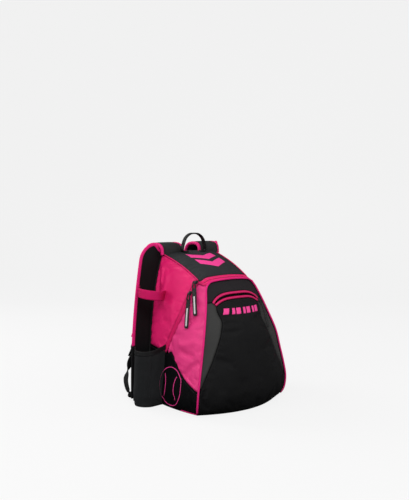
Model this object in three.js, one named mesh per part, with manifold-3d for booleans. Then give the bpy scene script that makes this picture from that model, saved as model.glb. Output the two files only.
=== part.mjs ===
// A backpack for baseball or softball kit: a stuffed bag with a sloping top, an arched main zip, a front
// pocket for gloves, a mesh sleeve with an elastic strap on each side for a bat, two padded shoulder
// straps and a carrying loop. Millimetres, +Z up, the front faces -Y, and the origin is on the base.
import * as THREE from "three";
import { mergeVertices } from "three/addons/utils/BufferGeometryUtils.js";
import Module from "manifold-3d";

// Driving dimensions
const BODY_HEIGHT = 420; // from the base to the rear edge of the top panel
const FRONT_HEIGHT = 345; // from the base to the top corners of the front panel
const BODY_WIDTH = 334; // across the front panel at its widest
const BODY_DEPTH = 243; // from the back panel to the piping of the front panel
const BACK_Y = 131; // front face of the back panel
const WALL = 2.4; // padded cloth wall of the bag
const BASE_WALL = 3; // reinforced base
const SEAM_GAP = 0.3; // clearance between pieces that are sewn or seated together
const TOP_CROWN = 7; // rise of the top panel's middle over its side seams
const TOP_BULGE = 11; // rise of the top seams over a straight line from back to front
const SIDE_BULGE = 6; // how far the stuffed sides stand out
const FOOT_BULGE = 1.1; // further bulge at the base, as a share of the sides' bulge
const POCKET_PUFF = 7; // how far the front pocket stands out of the front
const POCKET_SPACE = 27; // clear depth of the front pocket at its middle
const POCKET_ZIP_HEIGHT = 306; // front pocket's zip at its middle
const POCKET_ZIP_HALF = 85; // half the width of the front pocket's zip
const POCKET_ZIP_DROP = 18; // fall of the zip's ends below its middle
const POCKET_MOUTH = 5; // how far the front pocket's zip gapes
const LIP_WIDTH = 6.5; // tape on each side of the front pocket's zip
const CORNER_ROUND = 24; // rounding of the front panel's top corners
const BAND_WIDTH = 23; // cloth band that carries the main zip
const PIPING_D = 5; // cord round the front panel
const SEAM_PIPING_D = 3.2; // cord along the top panel's side seams
const PAD_THICKNESS = 12; // back panel
const PAD_DROP = 3; // back panel's top below the top panel's middle
const PAD_OVERHANG = 3; // back panel past the bag's rear seam
const PANEL_FLOOR = 4; // height of the back panel's lower edge over the base plane
const WING_THICKNESS = 4; // flap behind each bat
const WING_TOP_HALF = 168; // from the middle to the flap's edge at its top
const WING_FOOT_HALF = 203; // from the middle to the flap's edge at its foot
const WING_BOW = 12; // how far that edge bows out between them
const EAR_RISE = 25; // top of the flaps' corners over the body's height
const EAR_ROUND = 40; // rounding of the flaps' corners
const EAR_FOLD = 62; // degrees by which the right flap's corner is folded back
const FOLD_DEPTH = 52; // how far below the back panel's top that fold starts
const BINDING_WIDTH = 8.5; // binding tape, outwards from the flap's edge
const BINDING_THICKNESS = 6;
const BINDING_ROUND = 0.75; // share of its width over which the binding is flat
const SLEEVE_HEIGHT = 166; // mesh bat sleeve
const SLEEVE_WALL = 1.6;
const HEM_SAG = 8; // how far the sleeve's hem hangs below that height at its middle
const HEM_RISE = 4; // and stands over it at the bag
const SLEEVE_SLACK = 10; // cloth that the sleeve has to spare behind the bat
const BARREL_D = 67; // barrel of the bat that a sleeve and a strap hold
const BAT_X = 194; // middle of the bat at the base
const BAT_LEAN = 0.05; // how far the bat leans in for each unit of height
const BAT_CLEARANCE = 3;
const STRAP_HEIGHT = 312; // middle of the elastic bat strap
const STRAP_WIDTH = 26;
const STRAP_FALL = 14; // how much lower the elastic strap ends on the bag than on the flap
const STRAP_WALL = 1.8;
const SHOULDER_WIDTH = 74; // padded shoulder strap at the top
const SHOULDER_END_WIDTH = 48; // padded shoulder strap at its lower end
const SHOULDER_THICKNESS = 11;
const SHOULDER_X = 72; // middle of each shoulder strap at the top
const SHOULDER_RISE = 27.5; // arch of the shoulder straps over the body's rear edge
const SHOULDER_LOOP = 79; // front leg to rear leg of the arch
const STRAP_BINDING_D = 5;
const WEBBING_WIDTH = 25;
const WEBBING_THICKNESS = 2;
const WEBBING_TAIL = 26; // free end of the webbing past the ladder lock
const LOCK_WIDTH = 36; // ladder lock buckle
const LOCK_LENGTH = 30;
const LOCK_THICKNESS = 5;
const LOCK_BAR = 4.5;
const HANDLE_HALF_SPAN = 44;
const HANDLE_RISE = 54; // carrying loop over the top panel
const HANDLE_WIDTH = 15;
const HANDLE_THICKNESS = 4;
const HANDLE_SETBACK = 24; // carrying loop's middle in front of the back panel
const SLIDER_LENGTH = 12;
const SLIDER_WIDTH = 9;
const SLIDER_HEIGHT = 4;
const BRIDGE_WIDTH = 3.4; // bridge on a slider, which holds the pull
const BRIDGE_WALL = 1.6;
const BRIDGE_OPENING = 3.6; // clear height under the bridge
const PULL_LENGTH = 96;
const PULL_WIDTH = 13;
const PULL_THICKNESS = 2.4;
const PULL_EYE_WALL = 2; // cloth of the pull round the bridge
const PULL_EYE_CLEARANCE = 1.6; // on each side of the bridge
const POCKET_PULL_LENGTH = 78;
const POCKET_PULL_WIDTH = 7;

// Sections of the bag from base to top. rise is a share of the heights, widths are shares of half the body
// width, and reach and crown are shares of the body depth.
const SECTIONS = [
  { rise: 0, frontWidth: 0.916, reach: 0.909, backWidth: 0.874, crown: 0.2 },
  { rise: 0.06, frontWidth: 0.982, reach: 0.971, backWidth: 0.886, crown: 0.172 },
  { rise: 0.17, frontWidth: 1.0, reach: 1.0, backWidth: 0.886, crown: 0.15 },
  { rise: 0.29, frontWidth: 0.958, reach: 0.994, backWidth: 0.878, crown: 0.142 },
  { rise: 0.43, frontWidth: 0.892, reach: 0.975, backWidth: 0.862, crown: 0.136 },
  { rise: 0.58, frontWidth: 0.82, reach: 0.951, backWidth: 0.832, crown: 0.126 },
  { rise: 0.725, frontWidth: 0.719, reach: 0.895, backWidth: 0.786, crown: 0.11 },
  { rise: 0.87, frontWidth: 0.617, reach: 0.827, backWidth: 0.712, crown: 0.082 },
  { rise: 1, frontWidth: 0.527, reach: 0.745, backWidth: 0.617, crown: 0.036 },
];
// The main zip's line. around is 0 at the base, 1 at the top corner and 2 at the middle of the top, and
// along is 0 at the back panel and 1 at the front panel's piping.
const ZIP_LINE = [
  { around: 0.375, along: 0.335 },
  { around: 0.63, along: 0.545 },
  { around: 0.86, along: 0.725 },
  { around: 0.955, along: 0.81 },
  { around: 1, along: 0.89 },
  { around: 1.1, along: 0.94 },
  { around: 1.3, along: 0.95 },
  { around: 2, along: 0.95 },
];
// Lower edge of the pink gusset, from the zip's end to the piping
const GUSSET_EDGE = [
  { along: 0.386, around: 0.375 },
  { along: 0.47, around: 0.396 },
  { along: 0.61, around: 0.31 },
  { along: 0.754, around: 0.245 },
  { along: 0.93, around: 0.2 },
  { along: 1, around: 0.19 },
];
// Half width of the front pocket, as a share of the front panel's half width at that rise
const POCKET_EDGE = [
  { rise: 0, share: 0.985 },
  { rise: 0.19, share: 0.985 },
  { rise: 0.45, share: 0.79 },
  { rise: 0.675, share: 0.63 },
  { rise: 0.76, share: 0.665 },
  { rise: 0.85, share: 0.75 },
];
// Middle line of a shoulder strap. out is in steps of the splay to the panel's foot, back is a share of the
// loop, and height is a share of the body height.
const SHOULDER_LINE = [
  { out: 0, back: -0.04, height: 1.014 },
  { out: 0, back: -0.02, height: 1.035 },
  { out: 0.01, back: 0.1, height: 1.057 },
  { out: 0.02, back: 0.4, height: 1.064 },
  { out: 0.03, back: 0.7, height: 1.052 },
  { out: 0.05, back: 0.9, height: 1.012 },
  { out: 0.08, back: 0.96, height: 0.93 },
  { out: 0.12, back: 0.94, height: 0.81 },
  { out: 0.2, back: 0.9, height: 0.69 },
  { out: 0.32, back: 0.87, height: 0.58 },
  { out: 0.47, back: 0.83, height: 0.48 },
  { out: 0.6, back: 0.79, height: 0.39 },
];
// Lower webbing, from the ladder lock to the back panel's foot, in the same shares
const WEBBING_LINE = [
  { out: 0.88, back: 0.66, height: 0.235 },
  { out: 0.99, back: 0.57, height: 0.18 },
  { out: 1.06, back: 0.46, height: 0.13 },
  { out: 1.06, back: 0.32, height: 0.073 },
  { out: 1.02, back: 0.22, height: 0.052 },
  { out: 0.9, back: 0.175, height: 0.05 },
];
// Half of the carrying loop, from its sewn foot up to near its middle. out is a share of its half span, and up
// is a share of its rise.
const HANDLE_LINE = [
  { out: 0.58, up: 0 },
  { out: 0.92, up: 0 },
  { out: 1.02, up: 0.075 },
  { out: 0.96, up: 0.35 },
  { out: 0.74, up: 0.75 },
  { out: 0.35, up: 0.97 },
];

const HALF_WIDTH = BODY_WIDTH / 2;
const TOP_CORNER = 1;
const TOP_MIDDLE = 2;
const CLOTH = 0.9;

const lerp = (a, b, k) => a + (b - a) * k;
const vec = (x, y, z) => new THREE.Vector3(x, y, z);
const clamp01 = (k) => Math.min(1, Math.max(0, k));
const smooth = (k) => clamp01(k) ** 2 * (3 - 2 * clamp01(k));

// A smooth curve through one column of a table, read at a value of its key column
function read(table, key, column, at) {
  const last = table.length - 2;
  let i = 0;
  while (i < last && at > table[i + 1][key]) i += 1;
  const [p0, p1, p2, p3] = [i - 1, i, i + 1, i + 2].map((n) => table[Math.min(last + 1, Math.max(0, n))]);
  const span = p2[key] - p1[key];
  const k = (at - p1[key]) / span;
  if (k < 0 || k > 1) return lerp(p1[column], p2[column], clamp01(k));
  const slopeIn = i > 0 ? ((p2[column] - p0[column]) / (p2[key] - p0[key])) * span : p2[column] - p1[column];
  const slopeOut = i < last
    ? ((p3[column] - p1[column]) / (p3[key] - p1[key])) * span
    : p2[column] - p1[column];
  const k2 = k * k;
  const k3 = k2 * k;
  return (
    p1[column] * (2 * k3 - 3 * k2 + 1) +
    slopeIn * (k3 - 2 * k2 + k) +
    p2[column] * (3 * k2 - 2 * k3) +
    slopeOut * (k3 - k2)
  );
}

const section = (column, rise) => read(SECTIONS, "rise", column, rise);

// Where the gusset starts at the back panel, on the +X side. around runs from 0 at the base to 2 at the top.
function rearEdge(around) {
  const rise = Math.min(around, TOP_CORNER);
  const over = Math.max(0, around - TOP_CORNER);
  const x = HALF_WIDTH * section("backWidth", rise) * (1 - over);
  const z = BODY_HEIGHT * rise + TOP_CROWN * (1 - (1 - over) ** 2);
  return vec(x, BACK_Y - SEAM_GAP, Math.max(z, BASE_WALL + SEAM_GAP));
}

// The front panel's outer face. across is -1 to 1, and rise 0 to 1.
function front(across, rise) {
  const bow = 1 - across * across;
  const x = HALF_WIDTH * section("frontWidth", rise) * across;
  const y = BACK_Y - BODY_DEPTH * section("reach", rise) - BODY_DEPTH * section("crown", rise) * bow;
  const z = FRONT_HEIGHT * rise + TOP_CROWN * bow * rise ** 3;
  return vec(x, y, Math.max(z, BASE_WALL + SEAM_GAP));
}

// The rounded corner of the front panel lies between these, in the terms of front
const ROUND_RISE = CORNER_ROUND / FRONT_HEIGHT;
const ROUND_ACROSS = CORNER_ROUND / (HALF_WIDTH * SECTIONS[SECTIONS.length - 1].frontWidth);
const topRise = (across) => {
  const k = Math.sqrt(clamp01((1 - Math.abs(across)) / ROUND_ACROSS));
  return 1 - ROUND_RISE * (1 - k) ** 2;
};

// Where the gusset meets the front panel, on the +X side
function frontEdge(around) {
  const k = clamp01((around - TOP_CORNER + ROUND_RISE) / (ROUND_RISE + ROUND_ACROSS));
  if (k === 0) return front(1, around);
  if (k === 1) return front(TOP_MIDDLE - around, 1);
  const across = 1 - ROUND_ACROSS * k * k;
  return front(across, topRise(across));
}

// The gusset's outer face between those edges. around past 2 is the -X side.
function gusset(around, along) {
  const mirrored = around > TOP_MIDDLE;
  const a = mirrored ? 2 * TOP_MIDDLE - around : around;
  const p = rearEdge(a).lerp(frontEdge(a), along);
  const bow = 4 * along * (1 - along);
  const top = smooth((a - 0.7) / (TOP_CORNER - 0.7));
  p.x += SIDE_BULGE * bow * (1 - top) * (1 + FOOT_BULGE * (1 - smooth(a / 0.3)));
  p.z += TOP_BULGE * bow * top * (1 - 0.25 * (along < 0.5 ? 1 - 2 * along : 0));
  if (mirrored) p.x *= -1;
  return p;
}

// A point lifted off a face along its normal, away from the bag's inside
const INSIDE = vec(0, BACK_Y - 0.46 * BODY_DEPTH, 0.42 * BODY_HEIGHT);
function lifted(face, u, v, lift) {
  const step = 0.002;
  const p = face(u, v);
  const du = face(u + step, v).sub(face(u - step, v));
  const dv = face(u, v + step).sub(face(u, v - step));
  const normal = du.cross(dv).normalize();
  if (normal.dot(p.clone().sub(INSIDE)) < 0) normal.negate();
  return p.addScaledVector(normal, lift);
}

function geometryFrom(points, triangles) {
  const volume = triangles.reduce((sum, [a, b, c]) => {
    const [p, q, r] = [points[a], points[b], points[c]];
    return sum + p.dot(q.clone().cross(r));
  }, 0);
  const facing = volume < 0 ? triangles.map(([a, b, c]) => [a, c, b]) : triangles;
  const geometry = new THREE.BufferGeometry();
  geometry.setAttribute("position", new THREE.Float32BufferAttribute(points.flatMap((p) => p.toArray()), 3));
  geometry.setIndex(facing.flat());
  geometry.computeVertexNormals();
  return geometry;
}

// A closed wall between two grids of points of the same size
function wallBetween(outer, inner) {
  const rows = outer.length;
  const columns = outer[0].length;
  const points = [...outer.flat(), ...inner.flat()];
  const at = (layer, i, j) => layer * rows * columns + i * columns + j;
  const triangles = [];
  const quad = (a, b, c, d) => triangles.push([a, b, c], [a, c, d]);
  for (let i = 0; i < rows - 1; i += 1) {
    for (let j = 0; j < columns - 1; j += 1) {
      quad(at(0, i, j), at(0, i + 1, j), at(0, i + 1, j + 1), at(0, i, j + 1));
      quad(at(1, i, j), at(1, i, j + 1), at(1, i + 1, j + 1), at(1, i + 1, j));
    }
  }
  for (let i = 0; i < rows - 1; i += 1) {
    quad(at(0, i, 0), at(1, i, 0), at(1, i + 1, 0), at(0, i + 1, 0));
    quad(at(0, i, columns - 1), at(0, i + 1, columns - 1), at(1, i + 1, columns - 1), at(1, i, columns - 1));
  }
  for (let j = 0; j < columns - 1; j += 1) {
    quad(at(0, 0, j), at(0, 0, j + 1), at(1, 0, j + 1), at(1, 0, j));
    quad(at(0, rows - 1, j), at(1, rows - 1, j), at(1, rows - 1, j + 1), at(0, rows - 1, j + 1));
  }
  return geometryFrom(points, triangles);
}

// A cloth panel on a face. place(a, b) gives the face's coordinates for a and b from 0 to 1. mitres are how
// far the wall's inner side is drawn in, in wall thicknesses, at a = 0, a = 1, b = 0 and b = 1.
function panel(
  face,
  place,
  { cells, wall = WALL, lift = () => 0, mitres = [0, 0, 0, 0], gaps = [1, 1, 1, 1] },
) {
  const spot = (a, b, depth) => lifted(face, ...place(a, b), lift(a, b) - depth);
  const spanA = spot(0, 0.5, 0).distanceTo(spot(1, 0.5, 0));
  const spanB = spot(0.5, 0, 0).distanceTo(spot(0.5, 1, 0));
  const layer = (depth) => {
    const [a0, a1, b0, b1] = mitres.map((m, i) => (gaps[i] * SEAM_GAP) / 2 + m * depth);
    return Array.from({ length: cells[0] + 1 }, (_, i) =>
      Array.from({ length: cells[1] + 1 }, (__, j) => {
        const a = lerp(a0 / spanA, 1 - a1 / spanA, i / cells[0]);
        const b = lerp(b0 / spanB, 1 - b1 / spanB, j / cells[1]);
        return spot(a, b, depth);
      }),
    );
  };
  return wallBetween(layer(0), layer(wall));
}

// A solid swept through sections that all have the same number of points
function sweep(loops) {
  const count = loops[0].length;
  const triangles = [];
  for (let i = 0; i < loops.length - 1; i += 1) {
    for (let j = 0; j < count; j += 1) {
      const next = (j + 1) % count;
      const [a, b] = [i * count + j, i * count + next];
      triangles.push([a, b, b + count], [a, b + count, a + count]);
    }
  }
  const last = (loops.length - 1) * count;
  for (let j = 1; j < count - 1; j += 1) triangles.push([0, j + 1, j], [last, last + j, last + j + 1]);
  return geometryFrom(loops.flat(), triangles);
}

// Sections of a padded strap, with rounded edges, and of webbing
function paddedSection(centre, across, normal, halfWidth, halfThickness) {
  const round = Math.min(halfThickness, halfWidth);
  return [
    [-1, -0.4], [-1, 0.4], [-0.5, 1], [0.5, 1], [1, 0.4], [1, -0.4], [0.5, -1], [-0.5, -1],
  ].map(([w, t]) => {
    const reach = Math.abs(w) === 1 ? halfWidth : halfWidth - round * 0.6;
    return centre.clone()
      .addScaledVector(across, Math.sign(w) * reach)
      .addScaledVector(normal, t * halfThickness);
  });
}

const flatSection = (centre, across, normal, halfWidth, halfThickness) =>
  [[-1, -1], [-1, 1], [1, 1], [1, -1]].map(([w, t]) =>
    centre.clone().addScaledVector(across, w * halfWidth).addScaledVector(normal, t * halfThickness));

// A strap along a list of points. acrossAt(k) gives its width direction, k from 0 to 1.
function strap(points, acrossAt, widthAt, thickness, sectionAt = flatSection) {
  const loops = points.map((p, i) => {
    const tangent = directionAt(points, i);
    const k = i / (points.length - 1);
    const normal = acrossAt(k).cross(tangent).normalize();
    const across = tangent.cross(normal).normalize();
    return sectionAt(p, across, normal, widthAt(k) / 2, thickness / 2);
  });
  return sweep(loops);
}

const extruded = (shape, depth) =>
  new THREE.ExtrudeGeometry(shape, { depth, bevelEnabled: false, curveSegments: 3 });

const smoothCurve = (points) => new THREE.CatmullRomCurve3(points, false, "centripetal");
const directionAt = (points, i) =>
  points[Math.min(points.length - 1, i + 1)].clone().sub(points[Math.max(0, i - 1)]).normalize();
const curveThrough = (points, count) => smoothCurve(points).getSpacedPoints(count);

function tube(points, diameter, steps, sides = 6) {
  const shape = new THREE.Shape();
  for (let i = 0; i < sides; i += 1) {
    const turn = (2 * Math.PI * (i + 0.5)) / sides;
    const spot = [Math.cos(turn) * (diameter / 2), Math.sin(turn) * (diameter / 2)];
    if (i === 0) shape.moveTo(...spot);
    else shape.lineTo(...spot);
  }
  return new THREE.ExtrudeGeometry(shape, { steps, extrudePath: smoothCurve(points), bevelEnabled: false });
}

const mirror = (geometry) => {
  const flipped = geometry.clone().applyMatrix4(new THREE.Matrix4().makeScale(-1, 1, 1));
  const corners = flipped.index ? flipped.index.count : flipped.attributes.position.count;
  const order = Array.from({ length: corners }, (_, i) => (flipped.index ? flipped.index.getX(i) : i));
  for (let i = 0; i < order.length; i += 3) [order[i + 1], order[i + 2]] = [order[i + 2], order[i + 1]];
  flipped.setIndex(order);
  return flipped;
};

const pack = new THREE.Group();
const cloth = (color) => new THREE.MeshStandardMaterial({ color, roughness: CLOTH, metalness: 0 });
const PINK = cloth(0xd81e6b);
const LIGHT_PINK = cloth(0xea3d86);
const BLACK = cloth(0x141416);
const CHARCOAL = cloth(0x3a3d40);
const MESH_BLACK = cloth(0x1b1b1d);
const PLASTIC = new THREE.MeshStandardMaterial({ color: 0x101012, roughness: 0.45, metalness: 0 });

function add(name, geometry, material) {
  const mesh = new THREE.Mesh(geometry, material);
  mesh.name = name;
  pack.add(mesh);
}

// The wearer sees +X as the right-hand side, and so is named the right one
function addPair(name, geometry, material) {
  add(`${name}_right`, geometry, material);
  add(`${name}_left`, mirror(geometry), material);
}

// The main zip's band lies between these lines
const folded = (around) => (around > TOP_MIDDLE ? 2 * TOP_MIDDLE - around : around);
const zipLine = (around) => read(ZIP_LINE, "around", "along", folded(around));
const ZIP_FOOT = ZIP_LINE[0].around;
function bandHalf(around) {
  const run = rearEdge(folded(around)).distanceTo(frontEdge(folded(around)));
  const slant = lerp(0.62, 1, smooth((folded(around) - 0.9) / 0.25));
  return (BAND_WIDTH * slant) / 2 / run;
}
const bandRear = (around) => zipLine(around) - bandHalf(around);
const bandFront = (around) => Math.min(1, zipLine(around) + bandHalf(around));
const gussetFoot = (along) => read(GUSSET_EDGE, "along", "around", along);

// Grid lines that the pieces along the zip share
const SIDE_ROWS = 12; // from the zip's foot to the top corner
const TOP_COLUMNS = 16; // across the top
const upSide = (level) => lerp(ZIP_FOOT, TOP_CORNER, level);
function alongBand(a) {
  const row = a * (2 * SIDE_ROWS + TOP_COLUMNS);
  if (row <= SIDE_ROWS) return upSide(row / SIDE_ROWS);
  if (row >= SIDE_ROWS + TOP_COLUMNS) {
    return 2 * TOP_MIDDLE - upSide((2 * SIDE_ROWS + TOP_COLUMNS - row) / SIDE_ROWS);
  }
  return lerp(TOP_CORNER, 2 * TOP_MIDDLE - TOP_CORNER, (row - SIDE_ROWS) / TOP_COLUMNS);
}

// The highest around at which the band still leaves room at this along
const GUSSET_TOP = TOP_CORNER + ROUND_ACROSS;
function gussetHead(along) {
  let [low, high] = [ZIP_FOOT, GUSSET_TOP];
  for (let i = 0; i < 24; i += 1) {
    const middle = (low + high) / 2;
    if (bandFront(middle) < along) low = middle;
    else high = middle;
  }
  return low;
}

add(
  "top_panel",
  panel(gusset, (a, b) => {
    const around = lerp(TOP_CORNER, 2 * TOP_MIDDLE - TOP_CORNER, a);
    return [around, b * bandRear(around)];
  }, { cells: [TOP_COLUMNS, 7], mitres: [1, 1, 0.4, 0.3], gaps: [1, 1, 1, 3] }),
  CHARCOAL,
);
addPair(
  "side_panel",
  panel(gusset, (a, b) => {
    const around = upSide(a);
    return [around, b * bandRear(around)];
  }, { cells: [SIDE_ROWS, 6], mitres: [0, 1, 0.2, 0.3], gaps: [1, 1, 1, 3] }),
  PINK,
);
const GUSSET_START = bandFront(ZIP_FOOT);
const GUSSET_NOSE = GUSSET_START + 0.03;
const GUSSET_COLUMNS = 13;
addPair(
  "front_gusset",
  panel(gusset, (a, b) => {
    const along = lerp(GUSSET_NOSE, 1, b);
    return [lerp(gussetFoot(along), gussetHead(along), a), along];
  }, { cells: [7, GUSSET_COLUMNS], mitres: [0, 0, 0, 1.9], gaps: [3, 11, 1, 1] }),
  LIGHT_PINK,
);
const REAR_COLUMNS = 4; // columns of the lower side behind the gusset
addPair(
  "lower_side",
  panel(gusset, (a, b) => {
    const column = b * (REAR_COLUMNS + 1 + GUSSET_COLUMNS) - REAR_COLUMNS;
    if (column <= 0) return [a * ZIP_FOOT, lerp(0, GUSSET_START, 1 + column / REAR_COLUMNS)];
    const along = column < 1
      ? lerp(GUSSET_START, GUSSET_NOSE, column)
      : lerp(GUSSET_NOSE, 1, (column - 1) / GUSSET_COLUMNS);
    return [a * gussetFoot(along), along];
  }, { cells: [4, REAR_COLUMNS + 1 + GUSSET_COLUMNS], mitres: [0, 0, 0, 1.6], gaps: [1, 3, 1, 1] }),
  BLACK,
);
add(
  "main_zip",
  panel(gusset, (a, b) => {
    const around = alongBand(a);
    return [around, lerp(bandRear(around), bandFront(around), b)];
  }, { cells: [2 * SIDE_ROWS + TOP_COLUMNS, 2], mitres: [0, 0, 0, 1] }),
  PINK,
);

// The front pocket's zip, as seen from the front: s runs from -1 to 1, and offset is upwards across it
function pocketZip(s, offset) {
  const slope = (-4 * POCKET_ZIP_DROP * s ** 3) / POCKET_ZIP_HALF;
  const length = Math.hypot(1, slope);
  const x = POCKET_ZIP_HALF * s - (slope / length) * offset;
  const rise = (POCKET_ZIP_HEIGHT - POCKET_ZIP_DROP * s ** 4 + offset / length) / FRONT_HEIGHT;
  return [x / (HALF_WIDTH * section("frontWidth", rise)), rise];
}
const LIP_COLUMNS = 16;
const gape = (s) => (POCKET_MOUTH / 2) * (1 - s ** 8) + SEAM_GAP;
const lipEdge = (s, side) => pocketZip(s, side * (gape(s) + LIP_WIDTH));

const [LOW_ACROSS, LOW_RISE] = lipEdge(1, -1);
const [HIGH_ACROSS, HIGH_RISE] = lipEdge(1, 1);
const POCKET_NECK = 0.85; // share of the pocket's height above which its edge turns in to the zip's end
function pocketHalf(rise) {
  const turn = smooth((rise / LOW_RISE - POCKET_NECK) / (1 - POCKET_NECK));
  return lerp(read(POCKET_EDGE, "rise", "share", rise), LOW_ACROSS, turn);
}
const POCKET_FOOT = POCKET_EDGE[1].rise;

add(
  "front_pocket",
  panel(front, (a, b) => {
    const [across, rise] = lipEdge(lerp(-1, 1, a), -1);
    const low = lerp(-1, 1, a) * pocketHalf(b * LOW_RISE);
    return [low + (across - lerp(-1, 1, a) * LOW_ACROSS) * b ** 4, b * rise];
  }, {
    cells: [LIP_COLUMNS, 10],
    lift: (a, b) => POCKET_PUFF * smooth(5 * a * (1 - a)) * smooth(5 * b) * smooth(6 * (1 - b)),
    mitres: [1, 1, 0, 0],
    gaps: [6, 6, 1, 1],
  }),
  BLACK,
);
addPair(
  "front_wedge",
  panel(front, (a, b) => {
    const rise = lerp(POCKET_FOOT + ROUND_RISE / 2, HIGH_RISE, b);
    const inner = rise < LOW_RISE
      ? pocketHalf(rise)
      : lerp(LOW_ACROSS, HIGH_ACROSS, (rise - LOW_RISE) / (HIGH_RISE - LOW_RISE));
    return [lerp(inner, 1, a), rise];
  }, { cells: [2, 10], mitres: [1, 1.6, 0, 0], gaps: [7, 1, 1, 1] }),
  CHARCOAL,
);
const SIDE_STEPS = 2; // columns of the panel above the pocket, past each end of the zip
add(
  "front_upper_panel",
  panel(front, (a, b) => {
    const column = a * (LIP_COLUMNS + 2 * SIDE_STEPS) - SIDE_STEPS;
    const past = Math.max(-column, column - LIP_COLUMNS) / SIDE_STEPS;
    const side = column < 0 ? -1 : 1;
    const [across, low] = past > 0
      ? [side * lerp(HIGH_ACROSS, 1, past), HIGH_RISE]
      : lipEdge(lerp(-1, 1, column / LIP_COLUMNS), 1);
    return [across, lerp(low, topRise(across), b)];
  }, { cells: [LIP_COLUMNS + 2 * SIDE_STEPS, 2], mitres: [1.2, 1.2, 0, 1.2], gaps: [1, 1, 3, 3] }),
  CHARCOAL,
);
const lip = (side) =>
  panel(front, (a, b) => {
    const s = lerp(-1, 1, a);
    return pocketZip(s, side * (gape(s) + b * LIP_WIDTH));
  }, { cells: [LIP_COLUMNS, 1], gaps: [3, 3, 1, 1], mitres: [0.6, 0.6, 0, 0] });
add("pocket_lip_lower", lip(-1), PINK);
add("pocket_lip_upper", lip(1), PINK);
const INNER_FOOT = 0.3; // share of the rise at which the pocket's inner wall starts
const INNER_SHARE = 0.86; // inner wall's width as a share of the pocket's
add(
  "pocket_back",
  panel(front, (a, b) => {
    const s = lerp(-1, 1, a);
    const [across, rise] = pocketZip(s, gape(s) + LIP_WIDTH);
    return [lerp(s * pocketHalf(INNER_FOOT), across, b ** 2) * INNER_SHARE, lerp(INNER_FOOT, rise, b)];
  }, {
    cells: [8, 8],
    lift: (a, b) => {
      const depth = smooth(5 * a * (1 - a)) * smooth(3.4 * b) * smooth(7 * (1 - b));
      return -WALL - 1 - POCKET_SPACE * depth;
    },
  }),
  MESH_BLACK,
);

// A flat plate between two heights, with an outline given as points in plan
function plate(outline, low, high, middle) {
  const at = (z) => outline.map((p) => vec(p.x, p.y, z));
  const points = [...at(low), ...at(high), vec(middle.x, middle.y, low), vec(middle.x, middle.y, high)];
  const n = outline.length;
  const triangles = outline.flatMap((_, i) => {
    const next = (i + 1) % n;
    return [[2 * n, next, i], [2 * n + 1, n + i, n + next], [i, next, n + next], [i, n + next, n + i]];
  });
  return geometryFrom(points, triangles);
}

// Base: a flat panel with the outline of the gusset's and the front panel's lower edges
{
  const half = 12;
  const outline = [];
  for (let i = 0; i <= half; i += 1) outline.push(gusset(0, i / half));
  for (let i = 1; i < 2 * half; i += 1) outline.push(front(1 - i / half, 0));
  for (let i = half; i >= 0; i -= 1) outline.push(gusset(2 * TOP_MIDDLE, i / half));
  add("base_panel", plate(outline, 0, BASE_WALL, vec(0, 0, 0)), BLACK);
}

// Piping: round the front panel, and along the top panel's seams. A cord lies in the angle outside a seam.
const normalAt = (face, u, v) => lifted(face, u, v, 1).sub(face(u, v));
const PIPING_INSET = 0.004;
{
  const run = 90;
  const seat = PIPING_D / 2 + SEAM_GAP + PIPING_D / 10;
  const points = Array.from({ length: run + 1 }, (_, i) => {
    const around = lerp(0.03, 2 * TOP_MIDDLE - 0.03, i / run);
    const seam = gusset(around, 1);
    const topHalf = HALF_WIDTH * section("frontWidth", 1);
    const ahead = folded(around) > TOP_CORNER
      ? normalAt(front, seam.x / topHalf, topRise(folded(around)) - PIPING_INSET)
      : normalAt(front, Math.sign(seam.x) * (1 - PIPING_INSET), Math.min(folded(around), 1 - ROUND_RISE));
    const aside = normalAt(gusset, around, 1 - PIPING_INSET);
    return seam.addScaledVector(ahead.add(aside).normalize(), seat);
  });
  add("front_piping", tube(points, PIPING_D, 76), LIGHT_PINK);
}
addPair(
  "top_piping",
  tube(
    Array.from({ length: 9 }, (_, i) => {
      const along = lerp(0.012, bandRear(TOP_CORNER) - 0.03, i / 8);
      const up = normalAt(gusset, TOP_CORNER + PIPING_INSET, along);
      const out = normalAt(gusset, TOP_CORNER - PIPING_INSET, along);
      const seat = SEAM_PIPING_D / 2 + SEAM_GAP;
      return gusset(TOP_CORNER, along).addScaledVector(up.add(out).normalize(), seat);
    }),
    SEAM_PIPING_D,
    10,
  ),
  PINK,
);

// Back panel: a pad over the bag's rear seam, and a flap on each side behind the bat
const padHalf = (z) => rearEdge(clamp01(z / BODY_HEIGHT)).x + PAD_OVERHANG;
const PAD_TOP = BODY_HEIGHT + TOP_CROWN - PAD_DROP;
const EAR_HEIGHT = BODY_HEIGHT + EAR_RISE;
function wingHalf(z) {
  const k = clamp01(z / EAR_HEIGHT);
  return lerp(WING_FOOT_HALF, WING_TOP_HALF, k) + WING_BOW * 4 * k * (1 - k);
}
const PAD_ROWS = 10;
{
  const grid = (y) =>
    Array.from({ length: PAD_ROWS + 1 }, (_, i) =>
      Array.from({ length: 3 }, (__, j) => {
        const z = lerp(PANEL_FLOOR, PAD_TOP, i / PAD_ROWS);
        return vec(padHalf(z) * (j - 1), y, z);
      }),
    );
  add("back_panel", wallBetween(grid(BACK_Y), grid(BACK_Y + PAD_THICKNESS)), BLACK);
}

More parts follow.
